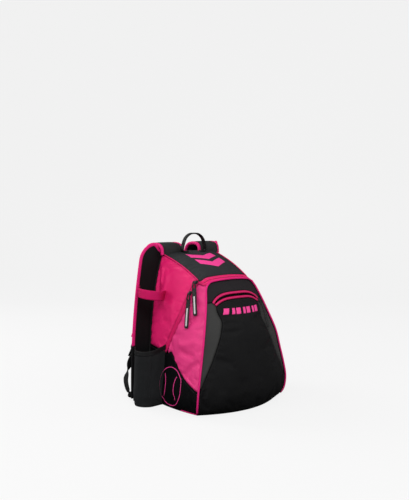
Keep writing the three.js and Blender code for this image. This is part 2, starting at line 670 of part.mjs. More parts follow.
// The flap's upper edge for a share of its width, and its face. The right flap's corner is folded back.
const CREASE = SHOULDER_X + SHOULDER_WIDTH / 2 + 12;
function wingTop(share) {
  const rise = lerp(PAD_TOP, EAR_HEIGHT, smooth(share / 0.45));
  const corner = clamp01(1 - ((1 - share) * (WING_TOP_HALF - padHalf(PAD_TOP))) / EAR_ROUND);
  return rise - EAR_ROUND * (1 - Math.sqrt(1 - corner ** 2));
}
function wingPoint(share, level, side, outwards = 0, deep = 0) {
  const z = lerp(PANEL_FLOOR, wingTop(share), level);
  const x = lerp(padHalf(z) + SEAM_GAP, wingHalf(z), share) + outwards;
  const folded = smooth(1 - (PAD_TOP - z) / FOLD_DEPTH);
  const turn = side > 0 ? THREE.MathUtils.degToRad(EAR_FOLD) * folded : 0;
  const past = Math.max(0, x - CREASE);
  const y = BACK_Y + WING_THICKNESS / 2;
  const flat = Math.min(x, CREASE);
  return vec(
    side * (flat + past * Math.cos(turn) - deep * Math.sin(turn) * smooth(past / 10)),
    y + past * Math.sin(turn) + deep * lerp(1, Math.cos(turn), smooth(past / 10)),
    z,
  );
}
const WING_ROWS = 13;
const WING_COLUMNS = 7;
for (const [name, side] of [["wing_right", 1], ["wing_left", -1]]) {
  const grid = (deep) =>
    Array.from({ length: WING_ROWS + 1 }, (_, i) =>
      Array.from({ length: WING_COLUMNS + 1 }, (__, j) =>
        wingPoint(j / WING_COLUMNS, i / WING_ROWS, side, 0, deep)),
    );
  add(name, wallBetween(grid(-WING_THICKNESS / 2), grid(WING_THICKNESS / 2)), BLACK);

  // Binding over the flap's outer edge and its corner
  const spots = [];
  for (let i = 0; i < 13; i += 1) spots.push([1, lerp(0.02, 1, i / 13)]);
  for (let i = 0; i <= 10; i += 1) spots.push([lerp(1, 2 / WING_COLUMNS, i / 10), 1]);
  const middle = spots.map(([share, level]) => wingPoint(share, level, side));
  const loops = middle.map((p, i) => {
    const tangent = directionAt(middle, i);
    const [share, level] = spots[i];
    const face = wingPoint(share, level, side, 0, 1).sub(wingPoint(share, level, side, 0, 0)).normalize();
    const out = tangent.clone().cross(face).normalize();
    const inwards = wingPoint(Math.max(0, share - 0.1), Math.max(0, level - 0.05), side).sub(p);
    if (out.dot(inwards) > 0) out.negate();
    const near = 1.6 * SEAM_GAP;
    const far = BINDING_WIDTH * BINDING_ROUND;
    const section = [[near, -0.5], [far, -0.5], [BINDING_WIDTH, 0], [far, 0.5], [near, 0.5]];
    return section.map(([reach, deep]) =>
      p.clone().addScaledVector(out, reach).addScaledVector(face, deep * BINDING_THICKNESS));
  });
  add(name.replace("wing", "wing_binding"), sweep(loops), PINK);
}

// Bat sleeves and straps. In plan their path runs from the flap, round a bat's barrel and in to the side.
const batX = (z) => BAT_X - BAT_LEAN * z;
const BAT_Y = BACK_Y - SEAM_GAP - BARREL_D / 2 - BAT_CLEARANCE - SLEEVE_WALL - SLEEVE_SLACK;
function sleevePath(z, landing, reach) {
  const radius = (BARREL_D / 2 + BAT_CLEARANCE + SLEEVE_WALL) * reach;
  const centre = vec(batX(z), BAT_Y, z);
  const start = vec(Math.min(wingHalf(z) - 2, centre.x + radius), BACK_Y - SEAM_GAP, z);
  const around = z / lerp(BODY_HEIGHT, FRONT_HEIGHT, landing);
  const end = lifted(gusset, around, landing, SEAM_GAP + SLEEVE_WALL);
  end.z = z;
  const points = [start];
  for (const turn of [15, -15, -45, -75, -100]) {
    const angle = THREE.MathUtils.degToRad(turn);
    points.push(vec(centre.x + radius * Math.cos(angle), centre.y + radius * Math.sin(angle), z));
  }
  points.push(end);
  return smoothCurve(points).getPoints(SLEEVE_COLUMNS);
}
const SLEEVE_COLUMNS = 14;
const SLEEVE_ROWS = 5;
function standingBand(landing, footAt, headAt, wall, rows, reachAt) {
  const grid = (inset) =>
    Array.from({ length: rows + 1 }, (_, i) => {
      const level = i / rows;
      return Array.from({ length: SLEEVE_COLUMNS + 1 }, (_, j) => {
        const k = j / SLEEVE_COLUMNS;
        const z = lerp(footAt(k), headAt(k), level);
        const path = sleevePath(z, landing, reachAt(level));
        const before = path[Math.max(0, j - 1)];
        const after = path[Math.min(SLEEVE_COLUMNS, j + 1)];
        const inwards = vec(before.y - after.y, after.x - before.x, 0).normalize();
        const y = Math.min(path[j].y + inwards.y * inset, BACK_Y - SEAM_GAP);
        return vec(path[j].x + inwards.x * inset, y, z);
      });
    });
  return wallBetween(grid(0), grid(wall));
}
const SLEEVE_LANDING = 0.36;
const SLEEVE_FLOOR = 5;
const sleeveReach = (level) => lerp(0.9, 1.06, smooth(level / 0.2));
{
  const top = (k) => SLEEVE_HEIGHT + lerp(-HEM_SAG, HEM_RISE, k) - HEM_SAG * Math.sin(Math.PI * k);
  addPair(
    "bat_sleeve",
    standingBand(SLEEVE_LANDING, () => SLEEVE_FLOOR, top, SLEEVE_WALL, SLEEVE_ROWS, sleeveReach),
    MESH_BLACK,
  );

  const rim = sleevePath(SLEEVE_FLOOR, SLEEVE_LANDING, sleeveReach(0));
  const inner = Array.from({ length: 5 }, (_, i) =>
    lifted(gusset, 0.02, lerp(SLEEVE_LANDING, 0.02, i / 4), SEAM_GAP + 1));
  const outline = [...rim, ...inner].map((p) => vec(p.x, Math.min(p.y, BACK_Y - SEAM_GAP), 0));
  addPair("sleeve_floor", plate(outline, 1, SLEEVE_FLOOR - SEAM_GAP, vec(batX(0), BAT_Y, 0)), BLACK);

  const half = STRAP_WIDTH / 2;
  const level = (k) => STRAP_HEIGHT + STRAP_FALL * (0.5 - k);
  addPair(
    "bat_strap",
    standingBand(0.24, (k) => level(k) - half, (k) => level(k) + half, STRAP_WALL, 1, () => 1),
    PINK,
  );
}

// Shoulder straps, their bindings, ladder locks and lower webbing, on the +X side and mirrored
const FOOT_OUT = WING_FOOT_HALF - SHOULDER_X;
const STRAP_FRONT_Y = BACK_Y - SHOULDER_THICKNESS / 2 - 1;
const ARCH_SCALE = SHOULDER_RISE / (Math.max(...SHOULDER_LINE.map(({ height }) => height)) - 1);
const strapPoint = ({ out, back, height }) =>
  vec(
    SHOULDER_X + FOOT_OUT * out,
    STRAP_FRONT_Y + SHOULDER_LOOP * back,
    height > 1 ? BODY_HEIGHT + (height - 1) * ARCH_SCALE : BODY_HEIGHT * height,
  );
const strapAcross = (k) => vec(1, 0, 0).lerp(vec(0.8, -0.15, 0.55), smooth((k - 0.35) / 0.6)).normalize();
{
  const steps = 22;
  const points = curveThrough(SHOULDER_LINE.map(strapPoint), steps);
  const width = (k) => lerp(SHOULDER_WIDTH, SHOULDER_END_WIDTH, smooth((k - 0.3) / 0.7));
  addPair("shoulder_strap", strap(points, strapAcross, width, SHOULDER_THICKNESS, paddedSection), BLACK);
  const edge = (side) => points.map((p, i) => {
    const k = i / steps;
    const tangent = directionAt(points, i);
    const normal = strapAcross(k).cross(tangent).normalize();
    const out = tangent.cross(normal).normalize();
    return p.clone().addScaledVector(out, side * (width(k) / 2 + STRAP_BINDING_D / 2 + SEAM_GAP));
  });
  addPair("strap_binding_inner", tube(edge(-1), STRAP_BINDING_D, 24, 5), PINK);
  addPair("strap_binding_outer", tube(edge(1), STRAP_BINDING_D, 24, 5), PINK);

  // The ladder lock hangs on the strap's end, in line with it
  const end = points[steps];
  const down = end.clone().sub(points[steps - 1]).normalize();
  const normal = strapAcross(1).cross(down).normalize();
  const across = down.clone().cross(normal).normalize();
  const shape = new THREE.Shape();
  const corner = 4;
  const [w, l] = [LOCK_WIDTH / 2, LOCK_LENGTH];
  shape.moveTo(-w + corner, 0);
  shape.lineTo(w - corner, 0);
  shape.quadraticCurveTo(w, 0, w, corner);
  shape.lineTo(w, l - corner);
  shape.quadraticCurveTo(w, l, w - corner, l);
  shape.lineTo(-w + corner, l);
  shape.quadraticCurveTo(-w, l, -w, l - corner);
  shape.lineTo(-w, corner);
  shape.quadraticCurveTo(-w, 0, -w + corner, 0);
  const slot = (LOCK_LENGTH - 3 * LOCK_BAR) / 2;
  const slotHalf = WEBBING_WIDTH / 2 + 0.8;
  [LOCK_BAR, 2 * LOCK_BAR + slot].forEach((low) => {
    const hole = new THREE.Path();
    hole.moveTo(-slotHalf, low);
    hole.lineTo(-slotHalf, low + slot);
    hole.lineTo(slotHalf, low + slot);
    hole.lineTo(slotHalf, low);
    hole.closePath();
    shape.holes.push(hole);
  });
  const lock = extruded(shape, LOCK_THICKNESS);
  lock.translate(0, 0, -LOCK_THICKNESS / 2);
  const frame = new THREE.Matrix4().makeBasis(across, down, across.clone().cross(down));
  frame.setPosition(end.clone().addScaledVector(down, SEAM_GAP + 0.5));
  lock.applyMatrix4(frame);
  addPair("ladder_lock", lock, PLASTIC);

  // Lower webbing: round the lock's last bar, and out and down to the flap's foot
  const inLock = (v, n) => vec(0, v, n).applyMatrix4(frame);
  const clear = LOCK_BAR / 2 + WEBBING_THICKNESS / 2 + 3 * SEAM_GAP;
  const barAt = LOCK_LENGTH - LOCK_BAR / 2;
  const face = LOCK_THICKNESS / 2 + WEBBING_THICKNESS / 2 + 2.5 * SEAM_GAP;
  const lower = WEBBING_LINE.map(strapPoint);
  const tail = [
    inLock(barAt + WEBBING_TAIL, face + 3),
    inLock(barAt + 4, face),
    inLock(barAt, face),
    inLock(barAt - clear, face - 1),
    inLock(barAt - clear - 0.6, 0),
    inLock(barAt - clear, 1 - face),
    inLock(barAt, -face),
    inLock(barAt + 5, -face - 0.5),
  ];
  const route = smoothCurve([...tail, ...lower]);
  const stops = 42;
  const tailStops = 0.4; // share of the stops that lie in the tail
  const tailEnd = tail.length / (tail.length + lower.length);
  const webbing = Array.from({ length: stops + 1 }, (_, i) => {
    const k = i / stops;
    return route.getPoint(
      k < tailStops ? (k / tailStops) * tailEnd : lerp(tailEnd, 1, (k - tailStops) / (1 - tailStops)),
    );
  });
  const edgeOn = vec(0.1, -1, 0.1); // the webbing turns on edge below the lock, and lies flat at its foot
  const flat = vec(0, 0.1, -1);
  const webAcross = (k) =>
    across.clone()
      .lerp(edgeOn, smooth((k - 0.42) / 0.22))
      .lerp(flat, smooth((k - 0.78) / 0.16))
      .normalize();
  addPair("lower_webbing", strap(webbing, webAcross, () => WEBBING_WIDTH, WEBBING_THICKNESS), BLACK);
}

// Carrying loop, sewn to the top panel in front of the back panel
const onTop = (x, y) => {
  const rear = rearEdge(TOP_MIDDLE).y;
  const along = (rear - y) / (rear - frontEdge(TOP_MIDDLE).y);
  const corner = gusset(TOP_CORNER, along).x;
  return gusset(TOP_MIDDLE - x / corner, along).z;
};
{
  const y = BACK_Y - HANDLE_SETBACK;
  const inner = HANDLE_HALF_SPAN * HANDLE_LINE[0].out;
  const foot = onTop(inner, y + HANDLE_WIDTH / 2) + HANDLE_THICKNESS / 2 + SEAM_GAP;
  const top = foot + HANDLE_RISE;
  const half = HANDLE_LINE.map(({ out, up }) => vec(HANDLE_HALF_SPAN * out, y, foot + HANDLE_RISE * up));
  const other = half.map((p) => vec(-p.x, p.y, p.z)).reverse();
  const points = curveThrough([...half, vec(0, y, top), ...other], 30);
  add("carrying_loop", strap(points, () => vec(0, 1, 0), () => HANDLE_WIDTH, HANDLE_THICKNESS), BLACK);
}

// Main zip's two sliders with their pulls, on the -X side, and the front pocket's pull
const wasm = await Module();
wasm.setup();
function solid(geometry) {
  const loose = geometry.index ? geometry.toNonIndexed() : geometry;
  const bare = new THREE.BufferGeometry().setAttribute("position", loose.getAttribute("position"));
  const merged = mergeVertices(bare, 1e-4);
  const mesh = new wasm.Mesh({
    numProp: 3,
    vertProperties: merged.attributes.position.array,
    triVerts: new Uint32Array(merged.index.array),
  });
  return new wasm.Manifold(mesh);
}
function fromSolid(made) {
  const mesh = made.getMesh();
  const geometry = new THREE.BufferGeometry();
  geometry.setAttribute("position", new THREE.BufferAttribute(new Float32Array(mesh.vertProperties), 3));
  geometry.setIndex(new THREE.BufferAttribute(new Uint32Array(mesh.triVerts), 1));
  geometry.computeVertexNormals();
  return geometry;
}
const BRIDGE_HALF = SLIDER_LENGTH / 2 - 1;
const sliderParts = () => {
  const body = new THREE.BoxGeometry(SLIDER_WIDTH, SLIDER_LENGTH, SLIDER_HEIGHT);
  body.translate(0, 0, SLIDER_HEIGHT / 2);
  const side = new THREE.Shape();
  const low = SLIDER_HEIGHT - 0.5;
  const high = SLIDER_HEIGHT + BRIDGE_OPENING;
  side.moveTo(-BRIDGE_HALF, low);
  side.lineTo(-BRIDGE_HALF, high);
  side.quadraticCurveTo(-BRIDGE_HALF, high + BRIDGE_WALL, -BRIDGE_HALF + BRIDGE_WALL, high + BRIDGE_WALL);
  side.lineTo(BRIDGE_HALF - BRIDGE_WALL, high + BRIDGE_WALL);
  side.quadraticCurveTo(BRIDGE_HALF, high + BRIDGE_WALL, BRIDGE_HALF, high);
  side.lineTo(BRIDGE_HALF, low);
  side.lineTo(BRIDGE_HALF - BRIDGE_WALL, low);
  side.lineTo(BRIDGE_HALF - BRIDGE_WALL, high);
  side.lineTo(-BRIDGE_HALF + BRIDGE_WALL, high);
  side.lineTo(-BRIDGE_HALF + BRIDGE_WALL, low);
  side.closePath();
  const bridge = extruded(side, BRIDGE_WIDTH);
  bridge.translate(0, 0, -BRIDGE_WIDTH / 2);
  const turn = new THREE.Matrix4().makeBasis(vec(0, 1, 0), vec(0, 0, 1), vec(1, 0, 0));
  bridge.applyMatrix4(turn);
  return fromSolid(solid(body).add(solid(bridge)));
};
const frameAt = (origin, down, normal) => {
  const across = down.clone().cross(normal).normalize();
  return new THREE.Matrix4().makeBasis(across, down, across.clone().cross(down)).setPosition(origin);
};
const SLIDER_SEAT = SEAM_GAP + 0.4;
const PULL_SPOTS = [
  { name: "upper", around: 0.95, tilt: 16 },
  { name: "lower", around: 0.85, tilt: 9 },
];
PULL_SPOTS.forEach(({ name, around, tilt }) => {
  const left = 2 * TOP_MIDDLE - around;
  const at = gusset(left, zipLine(left));
  const down = gusset(left + 0.01, zipLine(left + 0.01)).sub(at).normalize();
  const normal = normalAt(gusset, left, zipLine(left));
  const seat = at.clone().addScaledVector(normal, SLIDER_SEAT);
  add(`zip_slider_${name}`, sliderParts().applyMatrix4(frameAt(seat, down, normal)), PLASTIC);
  const eye = seat.clone().addScaledVector(down, BRIDGE_HALF - BRIDGE_WALL / 2);
  const turn = THREE.MathUtils.degToRad(tilt);
  const fall = vec(0, -Math.sin(turn), -Math.cos(turn));
  const hang = fall.clone().addScaledVector(normal, -fall.dot(normal)).normalize();
  const across = hang.clone().cross(normal).normalize();
  const plate = new THREE.Shape();
  const [half, ring] = [PULL_WIDTH / 2, BRIDGE_WIDTH / 2 + PULL_EYE_CLEARANCE];
  const head = -BRIDGE_WALL / 2 - PULL_EYE_CLEARANCE;
  plate.moveTo(-ring - PULL_EYE_WALL, head - PULL_EYE_WALL);
  plate.lineTo(ring + PULL_EYE_WALL, head - PULL_EYE_WALL);
  plate.lineTo(half, 8);
  plate.lineTo(half, PULL_LENGTH - 3);
  plate.quadraticCurveTo(half, PULL_LENGTH, half - 3, PULL_LENGTH);
  plate.lineTo(3 - half, PULL_LENGTH);
  plate.quadraticCurveTo(-half, PULL_LENGTH, -half, PULL_LENGTH - 3);
  plate.lineTo(-half, 8);
  plate.closePath();
  const eyelet = new THREE.Path();
  eyelet.moveTo(-ring, head);
  eyelet.lineTo(-ring, -head);
  eyelet.lineTo(ring, -head);
  eyelet.lineTo(ring, head);
  eyelet.closePath();
  plate.holes.push(eyelet);
  const pull = extruded(plate, PULL_THICKNESS);
  pull.translate(0, 0, SLIDER_HEIGHT + (BRIDGE_OPENING - PULL_THICKNESS) / 2);
  const hung = new THREE.Matrix4().makeBasis(across, hang, across.clone().cross(hang));
  pull.applyMatrix4(hung.setPosition(eye));
  add(`zip_pull_${name}`, pull, BLACK);
});
{
  const [across, rise] = pocketZip(0.98, 0);
  const points = Array.from({ length: 8 }, (_, i) => {
    const lower = rise - (POCKET_PULL_LENGTH / FRONT_HEIGHT) * (i / 7);
    const lift = POCKET_PULL_WIDTH / 2 + POCKET_PUFF * smooth(i / 2);
    return lifted(front, lerp(across, across * 0.78, i / 7), lower, lift);
  });
  const pull = strap(points, () => vec(1, -0.4, 0).normalize(), () => POCKET_PULL_WIDTH, PULL_THICKNESS);
  add("pocket_pull", pull, BLACK);
}

export default pack;
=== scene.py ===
"""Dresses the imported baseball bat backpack: sewn cloth panels, zips, net sleeves, padded straps and stitching."""

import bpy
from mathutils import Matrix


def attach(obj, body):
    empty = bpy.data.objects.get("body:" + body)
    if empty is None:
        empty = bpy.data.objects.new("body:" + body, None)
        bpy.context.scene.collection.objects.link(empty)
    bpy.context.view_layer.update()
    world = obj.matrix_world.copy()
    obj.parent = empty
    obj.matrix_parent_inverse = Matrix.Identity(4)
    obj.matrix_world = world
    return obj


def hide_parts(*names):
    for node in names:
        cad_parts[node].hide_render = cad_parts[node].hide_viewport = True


bl_info = {
    "name": "Bat backpack",
    "version": (1, 0, 0),
    "blender": (4, 5, 0),
    "location": "View3D > Sidebar > Backpack",
    "description": "Builds the cloth, trim, zips and straps of a backpack for baseball bats",
    "category": "Object",
}

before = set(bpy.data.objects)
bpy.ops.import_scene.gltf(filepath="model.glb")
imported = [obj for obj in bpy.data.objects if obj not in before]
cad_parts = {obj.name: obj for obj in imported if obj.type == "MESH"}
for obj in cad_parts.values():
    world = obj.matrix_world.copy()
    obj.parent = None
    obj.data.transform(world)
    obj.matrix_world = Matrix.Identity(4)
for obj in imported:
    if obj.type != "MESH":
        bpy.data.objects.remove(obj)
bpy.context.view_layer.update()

import math

import bpy
import numpy as np
from bpy.props import FloatProperty, FloatVectorProperty, IntProperty, PointerProperty
from mathutils import Vector

MM = 0.001
HALF_WIDTH = 167.0
BODY_HEIGHT = 420.0
FRONT_HEIGHT = 345.0
BODY_DEPTH = 243.0
BACK_Y = 131.0
SEAM_GAP = 0.3
FLOOR_Z = 3.3
TOP_CROWN = 7.0
TOP_BULGE = 11.0
SIDE_BULGE = 6.0
FOOT_BULGE = 1.1
CORNER_ROUND = 24.0
BAND_WIDTH = 23.0
POCKET_PUFF = 7.0
POCKET_SPACE = 27.0
POCKET_ZIP_HEIGHT = 306.0
POCKET_ZIP_HALF = 85.0
POCKET_ZIP_DROP = 18.0
POCKET_MOUTH = 5.0
LIP_WIDTH = 6.5
PAD_THICKNESS = 12.0
PAD_OVERHANG = 3.0
PANEL_FLOOR = 4.0
WING_THICKNESS = 4.0
WING_TOP_HALF = 168.0
WING_FOOT_HALF = 203.0
WING_BOW = 12.0
FOOT_TUCK = 2.6
EAR_HEIGHT = 445.0
EAR_ROUND = 40.0
EAR_FOLD = 62.0
EAR_TUCK = 13.0
FOLD_HEIGHT = 372.0
BARREL_D = 67.0
BAT_CLEARANCE = 3.0
SLEEVE_WALL = 1.6
SLEEVE_HEIGHT = 166.0
HEM_SAG = 8.0
HEM_RISE = 4.0
SLEEVE_SLACK = 10.0
SLEEVE_FOOT = 5.0
SLEEVE_LANDING = 0.36
STRAP_LANDING = 0.24
BAT_X = 194.0
BAT_LEAN = 0.05
STRAP_HEIGHT = 312.0
STRAP_WIDTH = 26.0
STRAP_FALL = 14.0
SHOULDER_X = 72.0
SHOULDER_WIDTH = 74.0
SHOULDER_END_WIDTH = 48.0
SHOULDER_THICKNESS = 11.0
SHOULDER_RISE = 27.5
SHOULDER_LOOP = 79.0
WEBBING_WIDTH = 25.0
LOCK_LENGTH = 30.0
LOCK_BAR = 4.5
LOCK_THICKNESS = 5.0
HANDLE_HALF_SPAN = 44.0
HANDLE_RISE = 54.0
HANDLE_WIDTH = 15.0
HANDLE_SETBACK = 24.0
CHEVRON_REACH = 48.0
CHEVRON_THICKNESS = 27.0
RING_Y = 9.0
RING_Z = 61.0
RING_HALF_HEIGHT = 52.0

# rise, front width, reach, back width, crown
FRONT_SPAN, REACH, BACK_SPAN, CROWN = 1, 2, 3, 4
SECTIONS = np.array([
    (0.0, 0.916, 0.909, 0.874, 0.2),
    (0.06, 0.982, 0.971, 0.886, 0.172),
    (0.17, 1.0, 1.0, 0.886, 0.15),
    (0.29, 0.958, 0.994, 0.878, 0.142),
    (0.43, 0.892, 0.975, 0.862, 0.136),
    (0.58, 0.82, 0.951, 0.832, 0.126),
    (0.725, 0.719, 0.895, 0.786, 0.11),
    (0.87, 0.617, 0.827, 0.712, 0.082),
    (1.0, 0.527, 0.745, 0.617, 0.036),
])
# around, along
ZIP_LINE = np.array([
    (0.375, 0.335), (0.63, 0.545), (0.86, 0.725), (0.955, 0.81), (1.0, 0.89), (1.1, 0.94), (1.3, 0.95), (2.0, 0.95),
])
# along, around
GUSSET_EDGE = np.array([
    (0.386, 0.375), (0.47, 0.396), (0.61, 0.31), (0.754, 0.245), (0.93, 0.2), (1.0, 0.19),
])
# rise, share of the front's half width
POCKET_EDGE = np.array([(0.0, 0.985), (0.19, 0.985), (0.45, 0.79), (0.675, 0.63), (0.76, 0.665), (0.85, 0.75)])
# out, back, height
SHOULDER_LINE = np.array([
    (0, -0.05, 0.99), (0, -0.02, 1.035), (0.01, 0.1, 1.057), (0.02, 0.4, 1.064), (0.03, 0.7, 1.052),
    (0.05, 0.9, 1.012), (0.08, 0.96, 0.93), (0.12, 0.94, 0.81), (0.2, 0.9, 0.69), (0.32, 0.87, 0.58),
    (0.47, 0.83, 0.48), (0.6, 0.79, 0.39),
])
WEBBING_LINE = np.array([
    (0.88, 0.66, 0.235), (0.99, 0.57, 0.18), (1.06, 0.46, 0.13), (1.06, 0.32, 0.073), (1.02, 0.22, 0.052),
    (0.9, 0.175, 0.05),
])
# out, up
HANDLE_LINE = [(0.58, 0), (0.92, 0), (1.02, 0.075), (0.96, 0.35), (0.74, 0.75), (0.35, 0.97)]


def lerp(a, b, k):
    return a + (b - a) * k


def clamp01(k):
    return np.clip(k, 0.0, 1.0)


def smooth(k):
    k = clamp01(k)
    return k * k * (3 - 2 * k)


def unit(v):
    return v / np.maximum(np.linalg.norm(v, axis=-1, keepdims=True), 1e-12)


def stack(*columns):
    return np.stack(np.broadcast_arrays(*columns), axis=-1).astype(float)


def read(table, column, at):
    """A smooth curve through one column of a table, read at values of its first column."""
    keys, values = table[:, 0], table[:, column]
    at = np.asarray(at, float)
    last = len(keys) - 2
    i = np.searchsorted(keys[1:-1], at, side="left")
    before, after, beyond = np.maximum(i - 1, 0), i + 1, np.minimum(i + 2, last + 1)
    span = keys[after] - keys[i]
    k = clamp01((at - keys[i]) / span)
    slope_in = (values[after] - values[before]) / (keys[after] - keys[before]) * span
    slope_out = (values[beyond] - values[i]) / (keys[beyond] - keys[i]) * span
    k2, k3 = k * k, k ** 3
    return (
        values[i] * (2 * k3 - 3 * k2 + 1) + slope_in * (k3 - 2 * k2 + k)
        + values[after] * (3 * k2 - 2 * k3) + slope_out * (k3 - k2)
    )


def value_noise(points, scale, seed):
    """Smooth noise from -1 to 1 at points in millimetres."""
    lattice = np.random.RandomState(seed).rand(24, 24, 24) * 2 - 1
    p = points / scale + 100.0
    low = np.floor(p).astype(int)
    f = p - low
    f = f * f * (3 - 2 * f)
    total = 0.0
    for dx in (0, 1):
        for dy in (0, 1):
            for dz in (0, 1):
                corner = lattice[(low[..., 0] + dx) % 24, (low[..., 1] + dy) % 24, (low[..., 2] + dz) % 24]
                weight = (
                    np.where(dx, f[..., 0], 1 - f[..., 0])
                    * np.where(dy, f[..., 1], 1 - f[..., 1])
                    * np.where(dz, f[..., 2], 1 - f[..., 2])
                )
                total = total + corner * weight
    return total


def catmull(points, samples, spaced=False):
    """A centripetal curve through points: samples + 1 points, evenly spaced along it where asked."""
    points = np.asarray(points, float)
    count = len(points) - 1
    padded = np.vstack([2 * points[0] - points[1], points, 2 * points[-1] - points[-2]])
    at = np.linspace(0, count, (samples if not spaced else max(400, samples * 6)) + 1)
    i = np.minimum(at.astype(int), count - 1)
    k = (at - i)[:, None]
    p0, p1, p2, p3 = padded[i], padded[i + 1], padded[i + 2], padded[i + 3]
    gap = [np.sqrt(np.linalg.norm(q - p, axis=1))[:, None] for p, q in ((p0, p1), (p1, p2), (p2, p3))]
    t1 = ((p1 - p0) / gap[0] - (p2 - p0) / (gap[0] + gap[1]) + (p2 - p1) / gap[1]) * gap[1]
    t2 = ((p2 - p1) / gap[1] - (p3 - p1) / (gap[1] + gap[2]) + (p3 - p2) / gap[2]) * gap[1]
    k2, k3 = k * k, k ** 3
    line = p1 * (2 * k3 - 3 * k2 + 1) + t1 * (k3 - 2 * k2 + k) + p2 * (3 * k2 - 2 * k3) + t2 * (k3 - k2)
    return even(line, samples) if spaced else line


def even(line, samples):
    """The same line with samples + 1 evenly spaced points."""
    run = np.concatenate([[0], np.cumsum(np.linalg.norm(np.diff(line, axis=0), axis=1))])
    at = np.linspace(0, run[-1], samples + 1)
    return np.stack([np.interp(at, run, line[:, c]) for c in range(3)], axis=-1)


def rear_edge(around):
    rise, over = np.minimum(around, 1), np.maximum(0, around - 1)
    x = HALF_WIDTH * read(SECTIONS, BACK_SPAN, rise) * (1 - over)
    z = BODY_HEIGHT * rise + TOP_CROWN * (1 - (1 - over) ** 2)
    return stack(x, BACK_Y - SEAM_GAP, np.maximum(z, FLOOR_Z))


def front(across, rise):
    bow = 1 - across * across
    x = HALF_WIDTH * read(SECTIONS, FRONT_SPAN, rise) * across
    y = BACK_Y - BODY_DEPTH * read(SECTIONS, REACH, rise) - BODY_DEPTH * read(SECTIONS, CROWN, rise) * bow
    z = FRONT_HEIGHT * rise + TOP_CROWN * bow * rise ** 3
    return stack(x, y, np.maximum(z, FLOOR_Z))


ROUND_RISE = CORNER_ROUND / FRONT_HEIGHT
ROUND_ACROSS = CORNER_ROUND / (HALF_WIDTH * SECTIONS[-1][FRONT_SPAN])


def top_rise(across):
    k = np.sqrt(clamp01((1 - np.abs(across)) / ROUND_ACROSS))
    return 1 - ROUND_RISE * (1 - k) ** 2


def front_edge(around):
    k = clamp01((around - 1 + ROUND_RISE) / (ROUND_RISE + ROUND_ACROSS))
    across = 1 - ROUND_ACROSS * k * k
    corner = front(across, top_rise(across))
    side = front(np.ones_like(k), np.minimum(around, 1))
    top = front(2 - around, np.ones_like(k))
    k = k[..., None]
    return np.where(k <= 0, side, np.where(k >= 1, top, corner))


def gusset(around, along):
    """The bag's side and top. around is 0 at the foot, 1 at the top corner, and past 2 on the other side."""
    around, along = np.broadcast_arrays(np.asarray(around, float), np.asarray(along, float))
    mirrored = around > 2
    a = np.where(mirrored, 4 - around, around)
    p = lerp(rear_edge(a), front_edge(a), along[..., None])
    bow = 4 * along * (1 - along)
    top = smooth((a - 0.7) / 0.3)
    p[..., 0] += SIDE_BULGE * bow * (1 - top) * (1 + FOOT_BULGE * (1 - smooth(a / 0.3)))
    p[..., 2] += TOP_BULGE * bow * top * (1 - 0.25 * np.where(along < 0.5, 1 - 2 * along, 0))
    p[..., 0] *= np.where(mirrored, -1, 1)
    return p


INSIDE = np.array([0, 20, 0.42 * BODY_HEIGHT])


def normals_of(face, u, v):
    step = 0.002
    du = face(u + step, v) - face(u - step, v)
    dv = face(u, v + step) - face(u, v - step)
    n = unit(np.cross(du, dv))
    away = np.sum(n * (face(u, v) - INSIDE), axis=-1, keepdims=True)
    return np.where(away < 0, -n, n)


def zip_line(around):
    return read(ZIP_LINE, 1, np.where(around > 2, 4 - around, around))


def band_half(around):
    a = np.where(around > 2, 4 - around, around)
    run = np.linalg.norm(rear_edge(a) - front_edge(a), axis=-1)
    return BAND_WIDTH * lerp(0.62, 1, smooth((a - 0.9) / 0.25)) / 2 / run


def band_rear(around):
    return zip_line(around) - band_half(around)


def band_front(around):
    return np.minimum(1, zip_line(around) + band_half(around))


def gusset_foot(along):
    return read(GUSSET_EDGE, 1, along)


ZIP_FOOT = 0.375
GUSSET_START = float(band_front(np.array(ZIP_FOOT)))
GUSSET_NOSE = GUSSET_START + 0.03


def gusset_head(along):
    low = np.full(np.shape(along), ZIP_FOOT)
    high = np.full(np.shape(along), 1 + ROUND_ACROSS)
    for _ in range(24):
        middle = (low + high) / 2
        below = band_front(middle) < along
        low, high = np.where(below, middle, low), np.where(below, high, middle)
    return low


def pocket_zip(s, offset):
    slope = -4 * POCKET_ZIP_DROP * s ** 3 / POCKET_ZIP_HALF
    length = np.hypot(1, slope)
    x = POCKET_ZIP_HALF * s - (slope / length) * offset
    rise = (POCKET_ZIP_HEIGHT - POCKET_ZIP_DROP * s ** 4 + offset / length) / FRONT_HEIGHT
    return x / (HALF_WIDTH * read(SECTIONS, FRONT_SPAN, rise)), rise


def gape(s):
    return POCKET_MOUTH / 2 * (1 - s ** 8) + SEAM_GAP


def lip_edge(s, side):
    return pocket_zip(s, side * (gape(s) + LIP_WIDTH))


LOW_ACROSS, LOW_RISE = (float(v) for v in lip_edge(np.array(1.0), -1))
HIGH_ACROSS, HIGH_RISE = (float(v) for v in lip_edge(np.array(1.0), 1))


def pocket_half(rise):
    return lerp(read(POCKET_EDGE, 1, rise), LOW_ACROSS, smooth((rise / LOW_RISE - 0.85) / 0.15))


def top_place(a, b):
    around = 1 + 2 * a
    return around, b * band_rear(around)


def side_place(a, b):
    around = lerp(ZIP_FOOT, 1, a)
    return around, b * band_rear(around)


def front_gusset_place(a, b):
    along = lerp(GUSSET_NOSE, 1, b)
    return lerp(gusset_foot(along), gusset_head(along), a), along


def lower_side_place(a, b):
    column = b * 18 - 4
    rear = lerp(0, GUSSET_START, 1 + column / 4)
    nose = lerp(GUSSET_START, GUSSET_NOSE, column)
    ahead = lerp(GUSSET_NOSE, 1, (column - 1) / 13)
    along = np.where(column <= 0, rear, np.where(column < 1, nose, ahead))
    return a * np.where(column <= 0, ZIP_FOOT, gusset_foot(along)), along


